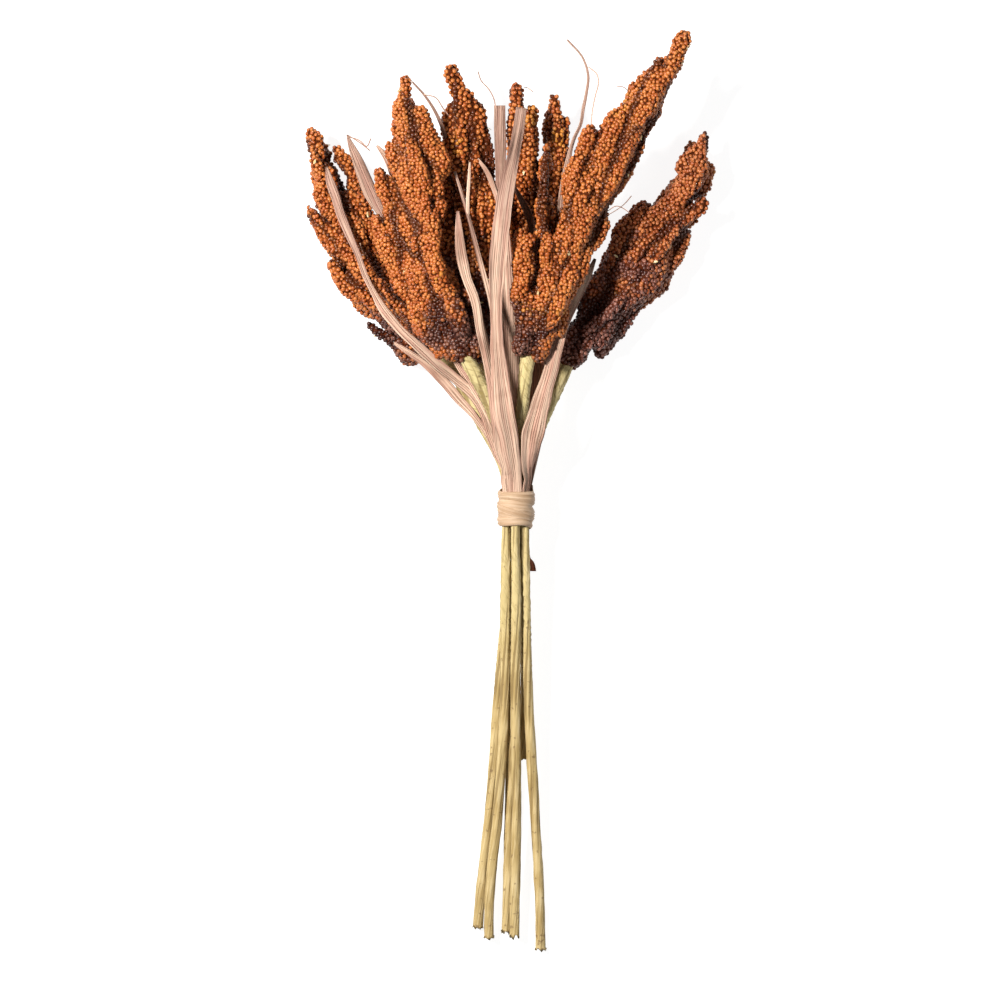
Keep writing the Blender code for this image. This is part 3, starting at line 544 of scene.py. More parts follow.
def dome(name, radius, sides, latitudes):
    """A round grain that stands on +Z. It is closed flat underneath, where it sits on the stalk."""
    rings = []
    for latitude in latitudes:
        up, out = math.sin(math.radians(latitude)), math.cos(math.radians(latitude))
        twist = latitude / 30
        turns = [2 * math.pi * (j + twist) / sides for j in range(sides)]
        rings += [(out * radius * math.cos(turn), out * radius * math.sin(turn), up * radius)
                  for turn in turns]
    faces = [tuple(reversed(range(sides)))]
    for i in range(len(latitudes) - 1):
        for j in range(sides):
            k = (j + 1) % sides
            faces.append((i * sides + j, i * sides + k, (i + 1) * sides + k, (i + 1) * sides + j))
    top = len(rings)
    faces += [(top - sides + j, top - sides + (j + 1) % sides, top) for j in range(sides)]
    return new_piece(name, [*rings, (0, 0, radius)], faces)


def flake_shape(name, length, width):
    """A thin, pointed, cupped flake that lies along X."""
    rows = [(-1, 0.0), (-0.55, 0.75), (0, 1.0), (0.5, 0.7), (1, 0.0)]
    top = [(s * length / 2, w * side * width / 2, 0.35 * abs(side) * w + 0.25 * s * s)
           for s, w in rows[1:-1] for side in (-1, 0, 1)]
    top += [(-length / 2, 0, 0.3), (length / 2, 0, 0.6)]
    count = len(top)
    skin = [(0, 1, 4, 3), (1, 2, 5, 4), (3, 4, 7, 6), (4, 5, 8, 7), (9, 1, 0), (9, 2, 1), (6, 7, 10),
            (7, 8, 10)]
    rim = [0, 3, 6, 10, 8, 5, 2, 9]
    faces = skin + [tuple(count + i for i in reversed(face)) for face in skin]
    faces += [(rim[n], rim[(n + 1) % 8], count + rim[(n + 1) % 8], count + rim[n]) for n in range(8)]
    return new_piece(name, top + [(x, y, z - FLAKE_THICKNESS) for x, y, z in top], faces)


grain_shape = dome("grain_shape", GRAIN_RADIUS, GRAIN_SIDES, GRAIN_RINGS)
flake = flake_shape("flake_shape", FLAKE_LENGTH, FLAKE_WIDTH)
print("a grain has", len(grain_shape.data.polygons), "faces, and a flake", len(flake.data.polygons))

# %% The husk flakes' finish
f = Finish("chaff")
place = f.node("ShaderNodeTexCoord", output="Object")
fleck = f.cloud(place, 900.0)
chaff = f.done(f.mix(fleck.ramp(0.35, 0.65), (0.62, 0.42, 0.16), (0.86, 0.74, 0.48)), 0.6, fleck)

# %% [markdown]
# The furrows come from a Voronoi pattern that is drawn out along the head, stored as `ridge`. It is 0 on
# a ridge and high in a furrow. A ray into the skin measures how thick the stalk is there, so that no
# furrow cuts a thin finger in two. A probe above each grain measures how far the skin is from it: in a
# gap, the other side is near. That distance, cut further in a furrow, paints shade on the grains.

# %% The coat's inputs, and the nodes that come again and again
COAT_INPUTS = (
    ("Geometry", "Geometry", None), ("Grain", "Object", None), ("Flake", "Object", None),
    ("Spacing", "Float", 1.8 * MM), ("Ridge Height", "Float", 11.0 * MM), ("Ridge Scale", "Float", 120.0),
    ("Lean", "Float", 0.0), ("Lump Height", "Float", 2.5 * MM), ("Lump Scale", "Float", 70.0),
    ("Rest Height", "Float", 1.4 * MM), ("Probe", "Float", 5.0 * MM), ("Under Layer", "Float", 0.5 * MM),
    ("Flakes", "Float", 850.0), ("Foot", "Vector", None), ("Dark Reach", "Float", 0.03), ("Seed", "Int", 0),
    ("Grain Finish", "Material", None), ("Stalk Finish", "Material", None),
    ("Flake Finish", "Material", None))


class Coat(Graph):
    """A Geometry Nodes tree with named inputs. given holds their wires, and sockets their identifiers."""

    def __init__(self, name):
        super().__init__(bpy.data.node_groups.new(name, "GeometryNodeTree"))
        self.sockets = {}
        for label, kind, value in COAT_INPUTS:
            made = self.tree.interface.new_socket(label, in_out="INPUT", socket_type="NodeSocket" + kind)
            if value is not None:
                made.default_value = value
            self.sockets[label] = made.identifier
        self.tree.interface.new_socket("Geometry", in_out="OUTPUT", socket_type="NodeSocketGeometry")
        inputs = self.tree.nodes.new("NodeGroupInput")
        self.given = {s.name: Wire(self, s) for s in inputs.outputs if s.name}

    def vector(self, operation, *values, output=0):
        """One Vector Math node."""
        return self.node("ShaderNodeVectorMath", {"operation": operation}, dict(enumerate(values)), output)

    def along(self, direction, length):
        """The direction, made this many times as long."""
        return self.node("ShaderNodeVectorMath", {"operation": "SCALE"}, {0: direction, "Scale": length})

    def moved(self, geometry, offset):
        """The geometry, with each point moved by the offset."""
        return self.node("GeometryNodeSetPosition", {}, {"Geometry": geometry, "Offset": offset})

    def store(self, geometry, name, value):
        """Each point of the geometry carries the value from here on."""
        return self.node("GeometryNodeStoreNamedAttribute", {"data_type": "FLOAT", "domain": "POINT"},
                         {"Geometry": geometry, "Name": name, "Value": value})

    def stored(self, name):
        """The value that each point carries under this name."""
        return self.node("GeometryNodeInputNamedAttribute", {"data_type": "FLOAT"}, {"Name": name})

    def draw(self, low, high, extra, kind="FLOAT"):
        """A random value for each point. Every draw has its own extra, which is added to the seed."""
        return self.node("FunctionNodeRandomValue", {"data_type": kind},
                         {"Min": low, "Max": high, "Seed": self.given["Seed"] + float(extra)})

    def turned(self, rotation, low, high, extra):
        """The rotation, turned further by a random tilt between two Euler angles."""
        tilt = self.node("FunctionNodeEulerToRotation", {},
                         {"Euler": self.draw(low, high, extra, "FLOAT_VECTOR")})
        return self.node("FunctionNodeRotateRotation", {"rotation_space": "LOCAL"},
                         {"Rotation": rotation, "Rotate By": tilt})

    def scatter(self, method, values):
        """Points on a mesh, with the way each one faces and its normal."""
        points = self.node("GeometryNodeDistributePointsOnFaces", {"distribute_method": method}, values)
        return points, *(Wire(self, points.socket.node.outputs[name]) for name in ("Rotation", "Normal"))

    def copies(self, points, shape, rotation, scale):
        """A copy of the shape on each point."""
        source = self.node("GeometryNodeObjectInfo", {}, {"Object": self.given[shape]}, "Geometry")
        return self.node("GeometryNodeInstanceOnPoints", {}, {
            "Points": points, "Rotation": rotation, "Scale": scale, "Instance": source})

    def plain(self, geometry, finish):
        """One plain mesh of the copies, in its finish."""
        whole = self.node("GeometryNodeRealizeInstances", {}, {"Geometry": geometry})
        return self.finished(whole, finish)

    def finished(self, geometry, finish):
        """The geometry in its finish."""
        return self.node("GeometryNodeSetMaterial", {},
                         {"Geometry": geometry, "Material": self.given[finish]})


# %% Furrows in the skin
RIDGE_STRETCH = (1.0, 0.26, 1.0)
RIDGE_EDGE = 0.47        # the pattern's value where a ridge ends and a furrow starts
CUT_SHARE, RISE_SHARE, LEAST_RISE = 0.22, 0.2, 0.9 * MM     # shares of the stalk's thickness there
RAY_START, RAY_LENGTH = 1e-4, 0.05


def furrowed_skin(g):
    """The stalk with its furrows and lumps, and its attribute `ridge`. It stays off the table."""
    given, place, normal = g.given, g.node("GeometryNodeInputPosition"), g.node("GeometryNodeInputNormal")
    lump = g.node("ShaderNodeTexNoise", {}, {"Vector": place, "Scale": given["Lump Scale"], "Detail": 1.0})
    leaning = g.node("ShaderNodeVectorRotate", {"rotation_type": "Z_AXIS"},
                     {"Vector": place, "Angle": given["Lean"]})
    drawn_out = g.vector("MULTIPLY", leaning, RIDGE_STRETCH)
    ridge = g.node("ShaderNodeTexVoronoi", {}, {"Vector": drawn_out, "Scale": given["Ridge Scale"]})
    inward = g.along(normal, -1.0)
    thick = g.node("GeometryNodeRaycast", {}, {
        "Target Geometry": given["Geometry"], "Ray Direction": inward, "Ray Length": RAY_LENGTH,
        "Source Position": g.vector("MULTIPLY_ADD", inward, (RAY_START,) * 3, place)}, "Hit Distance")
    height = (RIDGE_EDGE - ridge) * given["Ridge Height"] + (lump - 0.5) * given["Lump Height"]
    height = g.maths("MAXIMUM", height, thick * -CUT_SHARE)
    height = g.maths("MINIMUM", height, thick * RISE_SHARE + LEAST_RISE)
    skin = g.moved(g.store(given["Geometry"], "ridge", ridge), g.along(normal, height))
    parts = g.node("ShaderNodeSeparateXYZ", {}, {"Vector": g.node("GeometryNodeInputPosition")}).socket.node
    x, y, z = (Wire(g, socket) for socket in parts.outputs)
    lifted = g.node("ShaderNodeCombineXYZ", {}, {0: x, 1: y, 2: g.maths("MAXIMUM", z, given["Rest Height"])})
    return g.node("GeometryNodeSetPosition", {}, {"Geometry": skin, "Position": lifted})


# %% One layer of grains
GRAIN_DENSITY = 2.4e6    # points tried on each square metre, before the least distance thins them
GRAIN_JITTER = 0.4 * MM  # how far a grain may stand out or sink in
TURN_ROUND = 6.28        # any turn about a grain's own axis


def grain_layer(g, skin, extra, spacing, sink):
    """Grains scattered on the skin, each with its `tone`, how `ripe` it is, and how open its place is, for
    painted shade.
    """
    given = g.given
    points, facing, normal = g.scatter("POISSON", {
        "Mesh": skin, "Distance Min": spacing, "Density Max": GRAIN_DENSITY,
        "Density Factor": g.stored("open"), "Seed": given["Seed"] + float(extra)})
    points = g.moved(points, g.along(normal, g.draw(-GRAIN_JITTER, GRAIN_JITTER, extra + 1) - sink))
    spot = g.node("GeometryNodeInputPosition")
    probe = g.vector("ADD", spot, g.along(normal, given["Probe"]))
    free = g.node("GeometryNodeProximity", {}, {"Target": skin, "Source Position": probe}, "Distance")
    furrow = g.stored("ridge").ramp(0.5, 0.74)
    patch = g.node("ShaderNodeTexNoise", {}, {"Vector": spot, "Scale": 60.0, "Detail": 3.0})
    from_foot = g.vector("DISTANCE", spot, given["Foot"], output="Value") / given["Dark Reach"]
    share = from_foot + (patch - 0.5) * 2.4 + g.draw(-0.3, 0.3, extra + 2)
    turned = g.turned(facing, (-0.3, -0.3, 0), (0.3, 0.3, TURN_ROUND), extra + 3)
    points = g.store(points, "tone", g.draw(0.0, 1.0, extra + 4))
    points = g.store(points, "ripe", share.ramp(0.6, 1.25))
    # Painted shade: this value is low where the skin is near the probe, in a gap, and lower still in a
    # furrow. The grain finish darkens such grains.
    points = g.store(points, "airy", free / given["Probe"] * (1 - furrow * 0.75))
    return g.copies(points, "Grain", turned, g.draw(0.82, 1.14, extra + 5))


# %% The husk flakes
FLAKE_RISE = 1.0 * MM


def flake_layer(g, skin):
    """A few flakes strewn over the grains, each at its own tilt and size."""
    points, facing, normal = g.scatter("RANDOM", {
        "Mesh": skin, "Density": g.given["Flakes"], "Seed": g.given["Seed"] + 7.0})
    points = g.moved(points, g.along(normal, FLAKE_RISE))
    turned = g.turned(facing, (-0.5, -0.9, 0), (0.5, 0.1, TURN_ROUND), 5)
    return g.copies(points, "Flake", turned, g.draw(0.55, 1.15, 6))


# %% The whole coat
UNDER_SPACING = 1.1      # the under layer's spacing, as a share of the upper one's


def coat_tree():
    """The tree, and the identifiers of its inputs."""
    g = Coat("grain coat")
    skin = furrowed_skin(g)
    upper = grain_layer(g, skin, 0, g.given["Spacing"], 0.0)
    under = grain_layer(g, skin, 40, g.given["Spacing"] * UNDER_SPACING, g.given["Under Layer"])
    grains = g.node("GeometryNodeJoinGeometry", {}, {"Geometry": [upper, under]})
    whole = g.node("GeometryNodeJoinGeometry", {}, {"Geometry": [
        g.plain(flake_layer(g, skin), "Flake Finish"), g.plain(grains, "Grain Finish"),
        g.finished(skin, "Stalk Finish")]})
    whole = g.node("GeometryNodeSetShadeSmooth", {}, {"Geometry": whole})
    end = g.tree.nodes.new("NodeGroupOutput")
    g.tree.links.new(whole.socket, end.inputs[0])
    print("grain coat tree has", len(g.tree.nodes), "nodes")
    return g.tree, g.sockets


coat, coat_sockets = coat_tree()

# %% [markdown]
# Each stalk gets the tree as a modifier. Its inputs are set before Blender evaluates it, and the result
# becomes a plain mesh that stands for the solid head.

# %% Coat the heads
def settle(piece, node):
    """The finished piece moves with the bunch and stands for its solid, which is hidden."""
    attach(piece, "root")
    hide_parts(node)


def drop(helper):
    """Removes an object that was only needed on the way."""
    bpy.data.objects.remove(helper)


for number, (name, head) in enumerate(HEADS.items()):
    piece = stalks[name]
    piece.name = "millet_" + name
    modifier = piece.modifiers.new("grains", "NODES")
    modifier.node_group = coat
    values = {"Grain": grain_shape, "Flake": flake, "Foot": [c * MM for c in head["foot"]],
              "Dark Reach": head["dark"] * MM, "Lean": -math.radians(head["lean"]), "Seed": 11 + 90 * number,
              "Spacing": head["spacing"] * MM,
              "Grain Finish": dark_grain if head["slot"] == "dark_grain" else grain,
              "Stalk Finish": stalk, "Flake Finish": chaff}
    for key, value in values.items():
        modifier[coat_sockets[key]] = value
    bake(piece)
    piece.data.calc_loop_triangles()
    print(name, "has", len(piece.data.loop_triangles), "triangles")
    settle(piece, name)

drop(grain_shape)
drop(flake)

# %% [markdown]
# ## Husk leaves
#
# A dry leaf of this plant is a long, thin blade with fine ribs along it. Its edges curl and wave, and
# its end is torn into narrow strips. Each blade follows a smooth curve with a width at every place. Its
# cross-section is a row of points: ribs raise them in turn, and a curl lifts the edges. It gets an
# underside, so that it is a thin closed sheet. The UV map runs across and along the blade, for the
# streaks of the finish. Its second number is the distance along the blade in millimetres, so the finish
# also knows where a leaf is old and grey.

# %% The leaves' finish
def husk_finish(name, pale, deep, stain, aged):
    """Broad bands, dark lines between the ribs and fine fibres, all along the blade, and greyer far out."""
    f = Finish(name, Specular_IOR_Level=0.25)
    uv = f.node("ShaderNodeUVMap", {"uv_map": "UVMap"})
    place = f.node("ShaderNodeTexCoord", output="Object")

    def streaks(across, along, detail):
        stretched = f.node("ShaderNodeMapping", {}, {"Vector": uv, "Scale": (across, along, 1.0)})
        return f.cloud(stretched, 1.0, detail)

    broad, bend, fine = streaks(2.2, 0.015, 2.0), streaks(1.5, 0.02, 1.0), streaks(24.0, 0.05, 3.0)
    wide = f.node("ShaderNodeSeparateXYZ", {}, {0: uv}) * 4.8 + bend * 2.5
    between_ribs = (f.maths("FRACT", wide) - 0.5) * 2.0
    line = f.maths("ABSOLUTE", between_ribs).ramp(0.6, 1.0) * streaks(5.0, 0.03, 2.0).ramp(0.33, 0.55)
    blotch = f.cloud(place, 45.0, 4.0)
    run = f.node("ShaderNodeSeparateXYZ", {}, {0: uv}, 1)
    base = f.mix(run.ramp(110.0, 165.0) * 0.55, f.mix(broad.ramp(0.38, 0.62), deep, pale), aged)
    stained = f.mix(blotch.ramp(0.5, 0.7) * 0.45, base, stain)
    fibres = f.mix(fine.ramp(0.5, 0.68) * 0.45, stained, tuple(1.25 * c for c in pale))
    threads = f.mix((1 - streaks(15.0, 0.035, 3.0).ramp(0.3, 0.45)) * 0.6, fibres, stain)
    ribbed = f.mix(line * 0.75, threads, stain)
    return f.done(ribbed, 0.65 + fine * 0.2, fine * 0.5 - line, depth=0.0005, strength=0.8)


husk = husk_finish("husk", (0.66, 0.465, 0.345), (0.48, 0.275, 0.205),
                   (0.15, 0.055, 0.028), (0.29, 0.165, 0.135))
# A darker red-brown copy of the husk finish for the leaf's tail below the tie: painted shade, as that tail
# lies behind the stems, in shade.
painted_shade_tail_husk = husk_finish("tail husk", (0.27, 0.07, 0.025), (0.17, 0.042, 0.016),
                        (0.06, 0.012, 0.005), (0.17, 0.042, 0.016))
# A darker brown copy of the husk finish for a leaf that lies in the shade of others: painted shade.
painted_shade_husk = husk_finish("brown husk", (0.36, 0.185, 0.12), (0.22, 0.095, 0.06),
                         (0.07, 0.022, 0.012), (0.2, 0.1, 0.07))

# %% [markdown]
# Each leaf has its place in the tie, as an angle round the bundle, its width there, and points of x, y,
# z and width in millimetres. A second list is a strip that has torn off beside the leaf's end.

# %% The leaves' places
LEAVES = {
    "leaf_left_long": (128, 2.6, [
        (-0.8, 10, 30.5, 3.4), (-4.6, 19, 30.5, 4), (-7.8, 27, 30, 4), (-12.8, 41, 29, 4.6),
        (-17, 48.5, 29.5, 5), (-26, 57, 32, 5.4), (-37, 66, 40, 5.4), (-46.5, 74.5, 45.5, 4.8),
        (-54, 81.5, 47.6, 4.4), (-61.5, 90.5, 48.4, 4.6), (-66.5, 99, 46.4, 3.2), (-71.5, 109, 41, 3),
        (-75, 119, 37, 3), (-79, 128, 34, 3.8), (-83.5, 139, 31, 4.6), (-86.5, 149, 29, 4.6),
        (-89.3, 157, 28, 3.8), (-90.8, 163, 27, 1.2)]),
    "leaf_left_low": (138, 2.2, [
        (-2, 10, 29.5, 2.6), (-6.2, 20, 28.5, 3), (-9.7, 28, 27.5, 3), (-13.3, 33.8, 26, 3.2),
        (-17.8, 39.7, 24, 3.8), (-23.4, 45.7, 22.5, 4.6), (-31.4, 54.9, 23, 5), (-42, 65.3, 27, 4),
        (-50, 70.5, 29, 3), (-57, 75, 28, 1.4)]),
    "leaf_left_folded": (134, 2.4, [
        (-1.5, 11.5, 30, 3), (-4.2, 22, 30.5, 3.6), (-6.8, 33, 31, 4.6), (-11.8, 45.5, 31, 6),
        (-18, 56, 31, 6.5), (-25.5, 68, 31, 6), (-34, 84, 30.8, 5.5), (-46, 108, 30.8, 5), (-56, 126, 31, 4),
        (-62, 137.5, 32, 4.2), (-67, 147, 33, 6.6), (-71.5, 157, 34, 7.2), (-75.5, 167, 35, 5.4),
        (-78.5, 174, 35, 3), (-80.3, 179, 35, 1)],
        [(-52, 120, 31, 2), (-54, 138, 33.5, 3), (-56, 155, 36, 4), (-61, 168, 37, 3.6),
         (-65.5, 173.5, 38, 1.2)]),
    "leaf_left_wisp": (138, 1.6, [
        (-1.4, 11.5, 31, 2), (-2.4, 22, 34, 2), (-2.4, 32, 36, 2.4), (-5.5, 50, 34.5, 3),
        (-9.8, 68, 30, 3.5), (-14, 88, 26, 3), (-20, 110, 23, 3), (-25, 130, 23, 2.5),
        (-28, 150, 25, 2.5), (-29.5, 164, 28, 2.2), (-31, 176.5, 36, 2.2), (-33, 183, 43, 2),
        (-36.5, 190.5, 48, 1.6), (-41.5, 198, 52, 1.2), (-47.5, 204.5, 55, 0.9)]),
    "leaf_centre_left": (130, 3.0, [
        (-1.8, 12, 32, 3.4), (-4.6, 22, 36, 4), (-6, 35, 41, 5), (-8, 54, 45, 5),
        (-10.5, 66.5, 47.5, 4.5), (-14, 81.5, 50.5, 4.5), (-16.5, 96.5, 51.5, 4.5), (-20.5, 106.5, 51, 5),
        (-23, 116.5, 50, 5.5), (-24.3, 129, 48, 4.5), (-25, 140.5, 46, 1.5)]),
    "leaf_centre_thin": (113, 2.0, [
        (-0.4, 12, 33.5, 2), (-3, 25, 39, 2.2), (-4, 40, 45, 2.5), (-4.5, 56, 47.5, 2.5),
        (-5.5, 76.5, 46.5, 2.5), (-9, 96.5, 44, 2.5), (-15.5, 121.5, 41.5, 2.5), (-21.5, 144, 40.5, 2),
        (-26.5, 160.5, 41, 1.2)],
        [(-20, 138, 40.8, 1.6), (-20, 149, 41.5, 1.8), (-19.5, 157, 42, 1.8), (-19, 165, 42, 1)]),
    "leaf_centre": (92, 7.0, [
        (2.8, 13, 34, 7.8), (0.8, 25, 40, 9.5), (-2.2, 40, 46.5, 11), (-4.4, 62, 51.5, 8), (-6, 90, 54, 6),
        (-5.2, 115, 54.5, 8.5), (-3.5, 130, 53.5, 9), (-1, 150, 52.5, 8.2), (2.5, 168, 51.5, 6.5),
        (5, 181, 50, 6), (6.8, 192, 49, 5.2)]),
    "leaf_right_broad": (40, 5.6, [
        (10, 12, 30.5, 7.4), (11.7, 26.5, 36.5, 10.5), (14.6, 38, 41, 10.5), (18.2, 51, 43, 8.5),
        (21, 60, 42, 7), (24.2, 72.5, 40, 6.5), (26.8, 82, 38.5, 6), (33.5, 96.5, 36.3, 5),
        (38.5, 106.5, 35.6, 5), (43.5, 117, 35, 1.5)]),
    "leaf_right_short": (16, 1.8, [
        (12.5, 15, 27, 2.5), (13.2, 40, 30, 8), (14.2, 60, 31, 10.5), (14.5, 75, 31, 8.5), (12, 92, 31, 4.5),
        (12, 110, 31.5, 4), (11.5, 135, 34, 4), (6.5, 146.5, 38, 3), (2.5, 154, 40, 1.2)]),
    "leaf_right_wisp": (354, 1.6, [
        (14, 16, 24, 2), (18, 42, 26.5, 2.5), (20, 64, 30, 3), (20.5, 84, 31.5, 3), (21.5, 106, 32, 2.5),
        (25, 124, 34.5, 3), (25.7, 137, 38.5, 3.4), (27.3, 152, 42, 3.2), (30, 166, 43, 2.6),
        (33, 177, 43, 1.8), (36.2, 184, 43, 1.8), (37.5, 191.5, 44, 1.6), (39, 199, 45, 1.5),
        (40, 208, 46, 1.3), (37.5, 216.5, 47, 1.1), (29.5, 226, 47, 0.9)]),
    "leaf_tail": (300, 2, [
        (8.2, -24.5, 16.8, 3), (9.6, -29, 17.8, 5), (10.8, -34, 18.8, 5.8), (11.2, -39.2, 19.6, 6)]),
    "leaf_centre_back": (270, 2.2, [
        (2.5, 12, 15, 2.5), (0.6, 30, 19, 3.5), (0.5, 42, 22.8, 7.5), (0.8, 53, 25.8, 9),
        (0.8, 70, 29.5, 9.5), (0, 100, 33.5, 7), (-2, 130, 35.5, 6), (-3.6, 160, 37, 5.5), (-4, 180, 38, 6),
        (-4.2, 193.5, 38, 5.6)],
        [(-4, 142, 36.2, 2), (-7, 152, 37.5, 2.5), (-10.5, 160.5, 38, 2.5), (-15, 167, 38.5, 1.2)]),
}

print(len(LEAVES), "leaves")

# %% A ribbed blade
LEAF_RING = 7.5          # from the middle of the tie to a leaf under it
SHEET = 0.3              # thickness of a leaf
LEAF_STEP = 1.6
RIB_PITCH = 1.25         # from one rib to the next
RIB_HEIGHT = 0.3
FOLD_DEPTH = 0.1         # of a leaf's long folds, as a share of its half width
TURN_START, TURN_RUN = 2, 25    # a leaf turns to face up over this run outside the tie


def close_sheet(top, bottom, across_uv, run):
    """Corners, faces and UV of a thin closed sheet between two skins of rows by columns."""
    rows, columns = top.shape[:2]
    faces, uv = [], []

    def add(corners):
        faces.append([low * rows * columns + i * columns + j for i, j, low in corners])
        uv.extend((across_uv[j], run[i]) for i, j, low in corners)

    for i in range(rows - 1):
        for j in range(columns - 1):
            add([(i, j, 0), (i, j + 1, 0), (i + 1, j + 1, 0), (i + 1, j, 0)])
            add([(i + 1, j, 1), (i + 1, j + 1, 1), (i, j + 1, 1), (i, j, 1)])
        add([(i, 0, 0), (i + 1, 0, 0), (i + 1, 0, 1), (i, 0, 1)])
        add([(i + 1, columns - 1, 0), (i, columns - 1, 0), (i, columns - 1, 1), (i + 1, columns - 1, 1)])
    for j in range(columns - 1):
        add([(0, j + 1, 0), (0, j, 0), (0, j, 1), (0, j + 1, 1)])
        add([(rows - 1, j, 0), (rows - 1, j + 1, 0), (rows - 1, j + 1, 1), (rows - 1, j, 1)])
    return np.vstack([top.reshape(-1, 3), bottom.reshape(-1, 3)]), faces, uv


def drift(*place):
    """Smooth noise between about -0.5 and 0.5."""
    return noise.noise(Vector(place))


def blade(route, held, seed):
    """One thin ribbed blade along a route of (x, y, z, width)."""
    path, run = smooth_path(route, LEAF_STEP)
    along = np.gradient(path[:, :3], axis=0)
    along /= np.linalg.norm(along, axis=1)[:, None]
    widest = path[:, 3].max()
    ribs = max(2, round(widest / RIB_PITCH))
    columns = 2 * ribs + 1
    u = np.linspace(-1, 1, columns)
    crest = np.arange(columns) % 2
    top, bottom = [], []
    for i, spot in enumerate(path):
        clear = max(spot[1] - TIE_HIGH, TIE_LOW - spot[1])
        upward = min(1, max(0, (clear - TURN_START) / TURN_RUN))
        facing = held * (1 - upward) + UP * upward
        side = np.cross(along[i], facing)
        side /= np.linalg.norm(side)
        out = np.cross(side, along[i])
        half = max(spot[3] / 2, 0.2)
        roll = upward * (0.35 + 1.3 / (1 + half)) * drift(run[i] * 0.03, seed, 0.0)
        side, out = (side * math.cos(roll) + out * math.sin(roll),
                     out * math.cos(roll) - side * math.sin(roll))
        edge = [1 + 0.14 * drift(run[i] * 0.09, seed, 9.0 + way) for way in (0, 1)]
        reach = half * u * np.where(u < 0, *edge)
        gathered = min(1.8, widest / (2 * half))
        strength = np.array([0.85 + 0.9 * drift(run[i] * 0.012, 1.7 * j, seed) for j in range(columns)])
        rib_height = RIB_HEIGHT * gathered * min(1, half) * crest * strength
        fold = FOLD_DEPTH * half * np.sin(np.pi * (1.6 * u + 1.8 * drift(run[i] * 0.01, seed, 4.0)))
        curl = drift(run[i] * 0.02, seed, 5.0)
        bend = half * upward * (0.16 * (1 - u**2) + (0.1 + 0.6 * curl) * u**2)
        hug = (1 - upward) * (np.sqrt(np.maximum(LEAF_RING**2 - reach**2, 0)) - LEAF_RING)
        spots = spot[:3] + side * reach[:, None] + out * (rib_height + fold + bend + hug)[:, None]
        top.append(spots + out * SHEET / 2)
        bottom.append(spots - out * SHEET / 2)
    return close_sheet(np.array(top), np.array(bottom), (u + 1) / 2 * widest / 6 + seed, run)


def join_sheets(name, sheets):
    """One object of several closed sheets."""
    vertices = np.vstack([sheet[0] for sheet in sheets])
    faces, uv, start = [], [], 0
    for corners, sides, spots in sheets:
        faces += [[start + i for i in side] for side in sides]
        uv += spots
        start += len(corners)
    return new_piece(name, vertices, faces, uv)


# %% Where a leaf starts
def leaf_start(place, neck, first):
    """Where a leaf is held under the tie, as the start of its route, and the way it faces there."""
    angle = math.radians(place)
    held = np.array((math.cos(angle), 0.0, math.sin(angle)))
    edge, way = (TIE_HIGH, 1) if first[1] > TIE_HIGH else (TIE_LOW, -1)
    tie = np.array((TIE_X, edge, TIE_Z))
    return held, [(*(tie + held * reach + (0, run * way, 0)), neck)
                  for reach, run in ((LEAF_RING, -8.0), (LEAF_RING, 0.5), (LEAF_RING + 0.9, 5))]


# %% Torn fibres that hang on the leaves' ends
FIBRES = {
    "leaf_right_wisp": [
        [(40, 212.5, 46.5), (44.5, 208.5, 47), (45, 204, 47), (43.5, 198, 46), (42, 190, 45),
         (41.5, 183.5, 45)]],
    "leaf_left_wisp": [
        [(-42, 198.5, 52.5), (-36, 197, 52), (-32.5, 192, 50), (-29.5, 188, 48)],
        [(-47, 204, 55), (-50, 206.5, 56), (-51.5, 206.5, 57)]],
    "leaf_left_folded": [
        [(-80, 178, 35), (-74, 176, 37), (-70.5, 173, 38), (-68.5, 177, 39)],
        [(-79.5, 178.5, 35), (-72, 173.5, 37), (-69, 171, 37)]],
    "leaf_centre_back": [
        [(-6.3, 188, 38.4), (-6.8, 196, 38.6), (-9.5, 201.5, 39), (-13.5, 206, 39), (-15, 210.5, 39)]],
}
FIBRE_WIDTH = 0.55

# %% Grow the leaves
# Two leaves take darker copies of the husk finish as painted shade.
OTHER_FINISHES = {"leaf_tail": painted_shade_tail_husk, "leaf_right_short": painted_shade_husk}

for number, (name, (place, neck, points, *strips)) in enumerate(LEAVES.items()):
    held, start = leaf_start(place, neck, points[0])
    sheets = [blade([*start, *points], held, number + 1.0)]
    sheets += [blade(strip, UP, number + 21.0) for strip in strips]
    for fibre in FIBRES.get(name, []):
        sheets.append(blade([(*spot, FIBRE_WIDTH) for spot in fibre], UP, number + 41.0))
    piece = join_sheets("husk_" + name, sheets)
    piece.data.materials.append(OTHER_FINISHES.get(name, husk))
    settle(piece, name)
    print(name, "has", len(piece.data.polygons), "faces")

# %% [markdown]
# ## Wrapped stems
#
# Each stem is wound with crinkled paper. The paper twists slowly round the stem, so its edges make two
# shallow seams that climb with it, and it wrinkles between them. Just under the heads it is thicker and
# more crumpled, and at the cut end it is ragged round a hollow. All of it is relief on one tube: grooves
# that follow the twist, soft folds, and noise for the wrinkles.

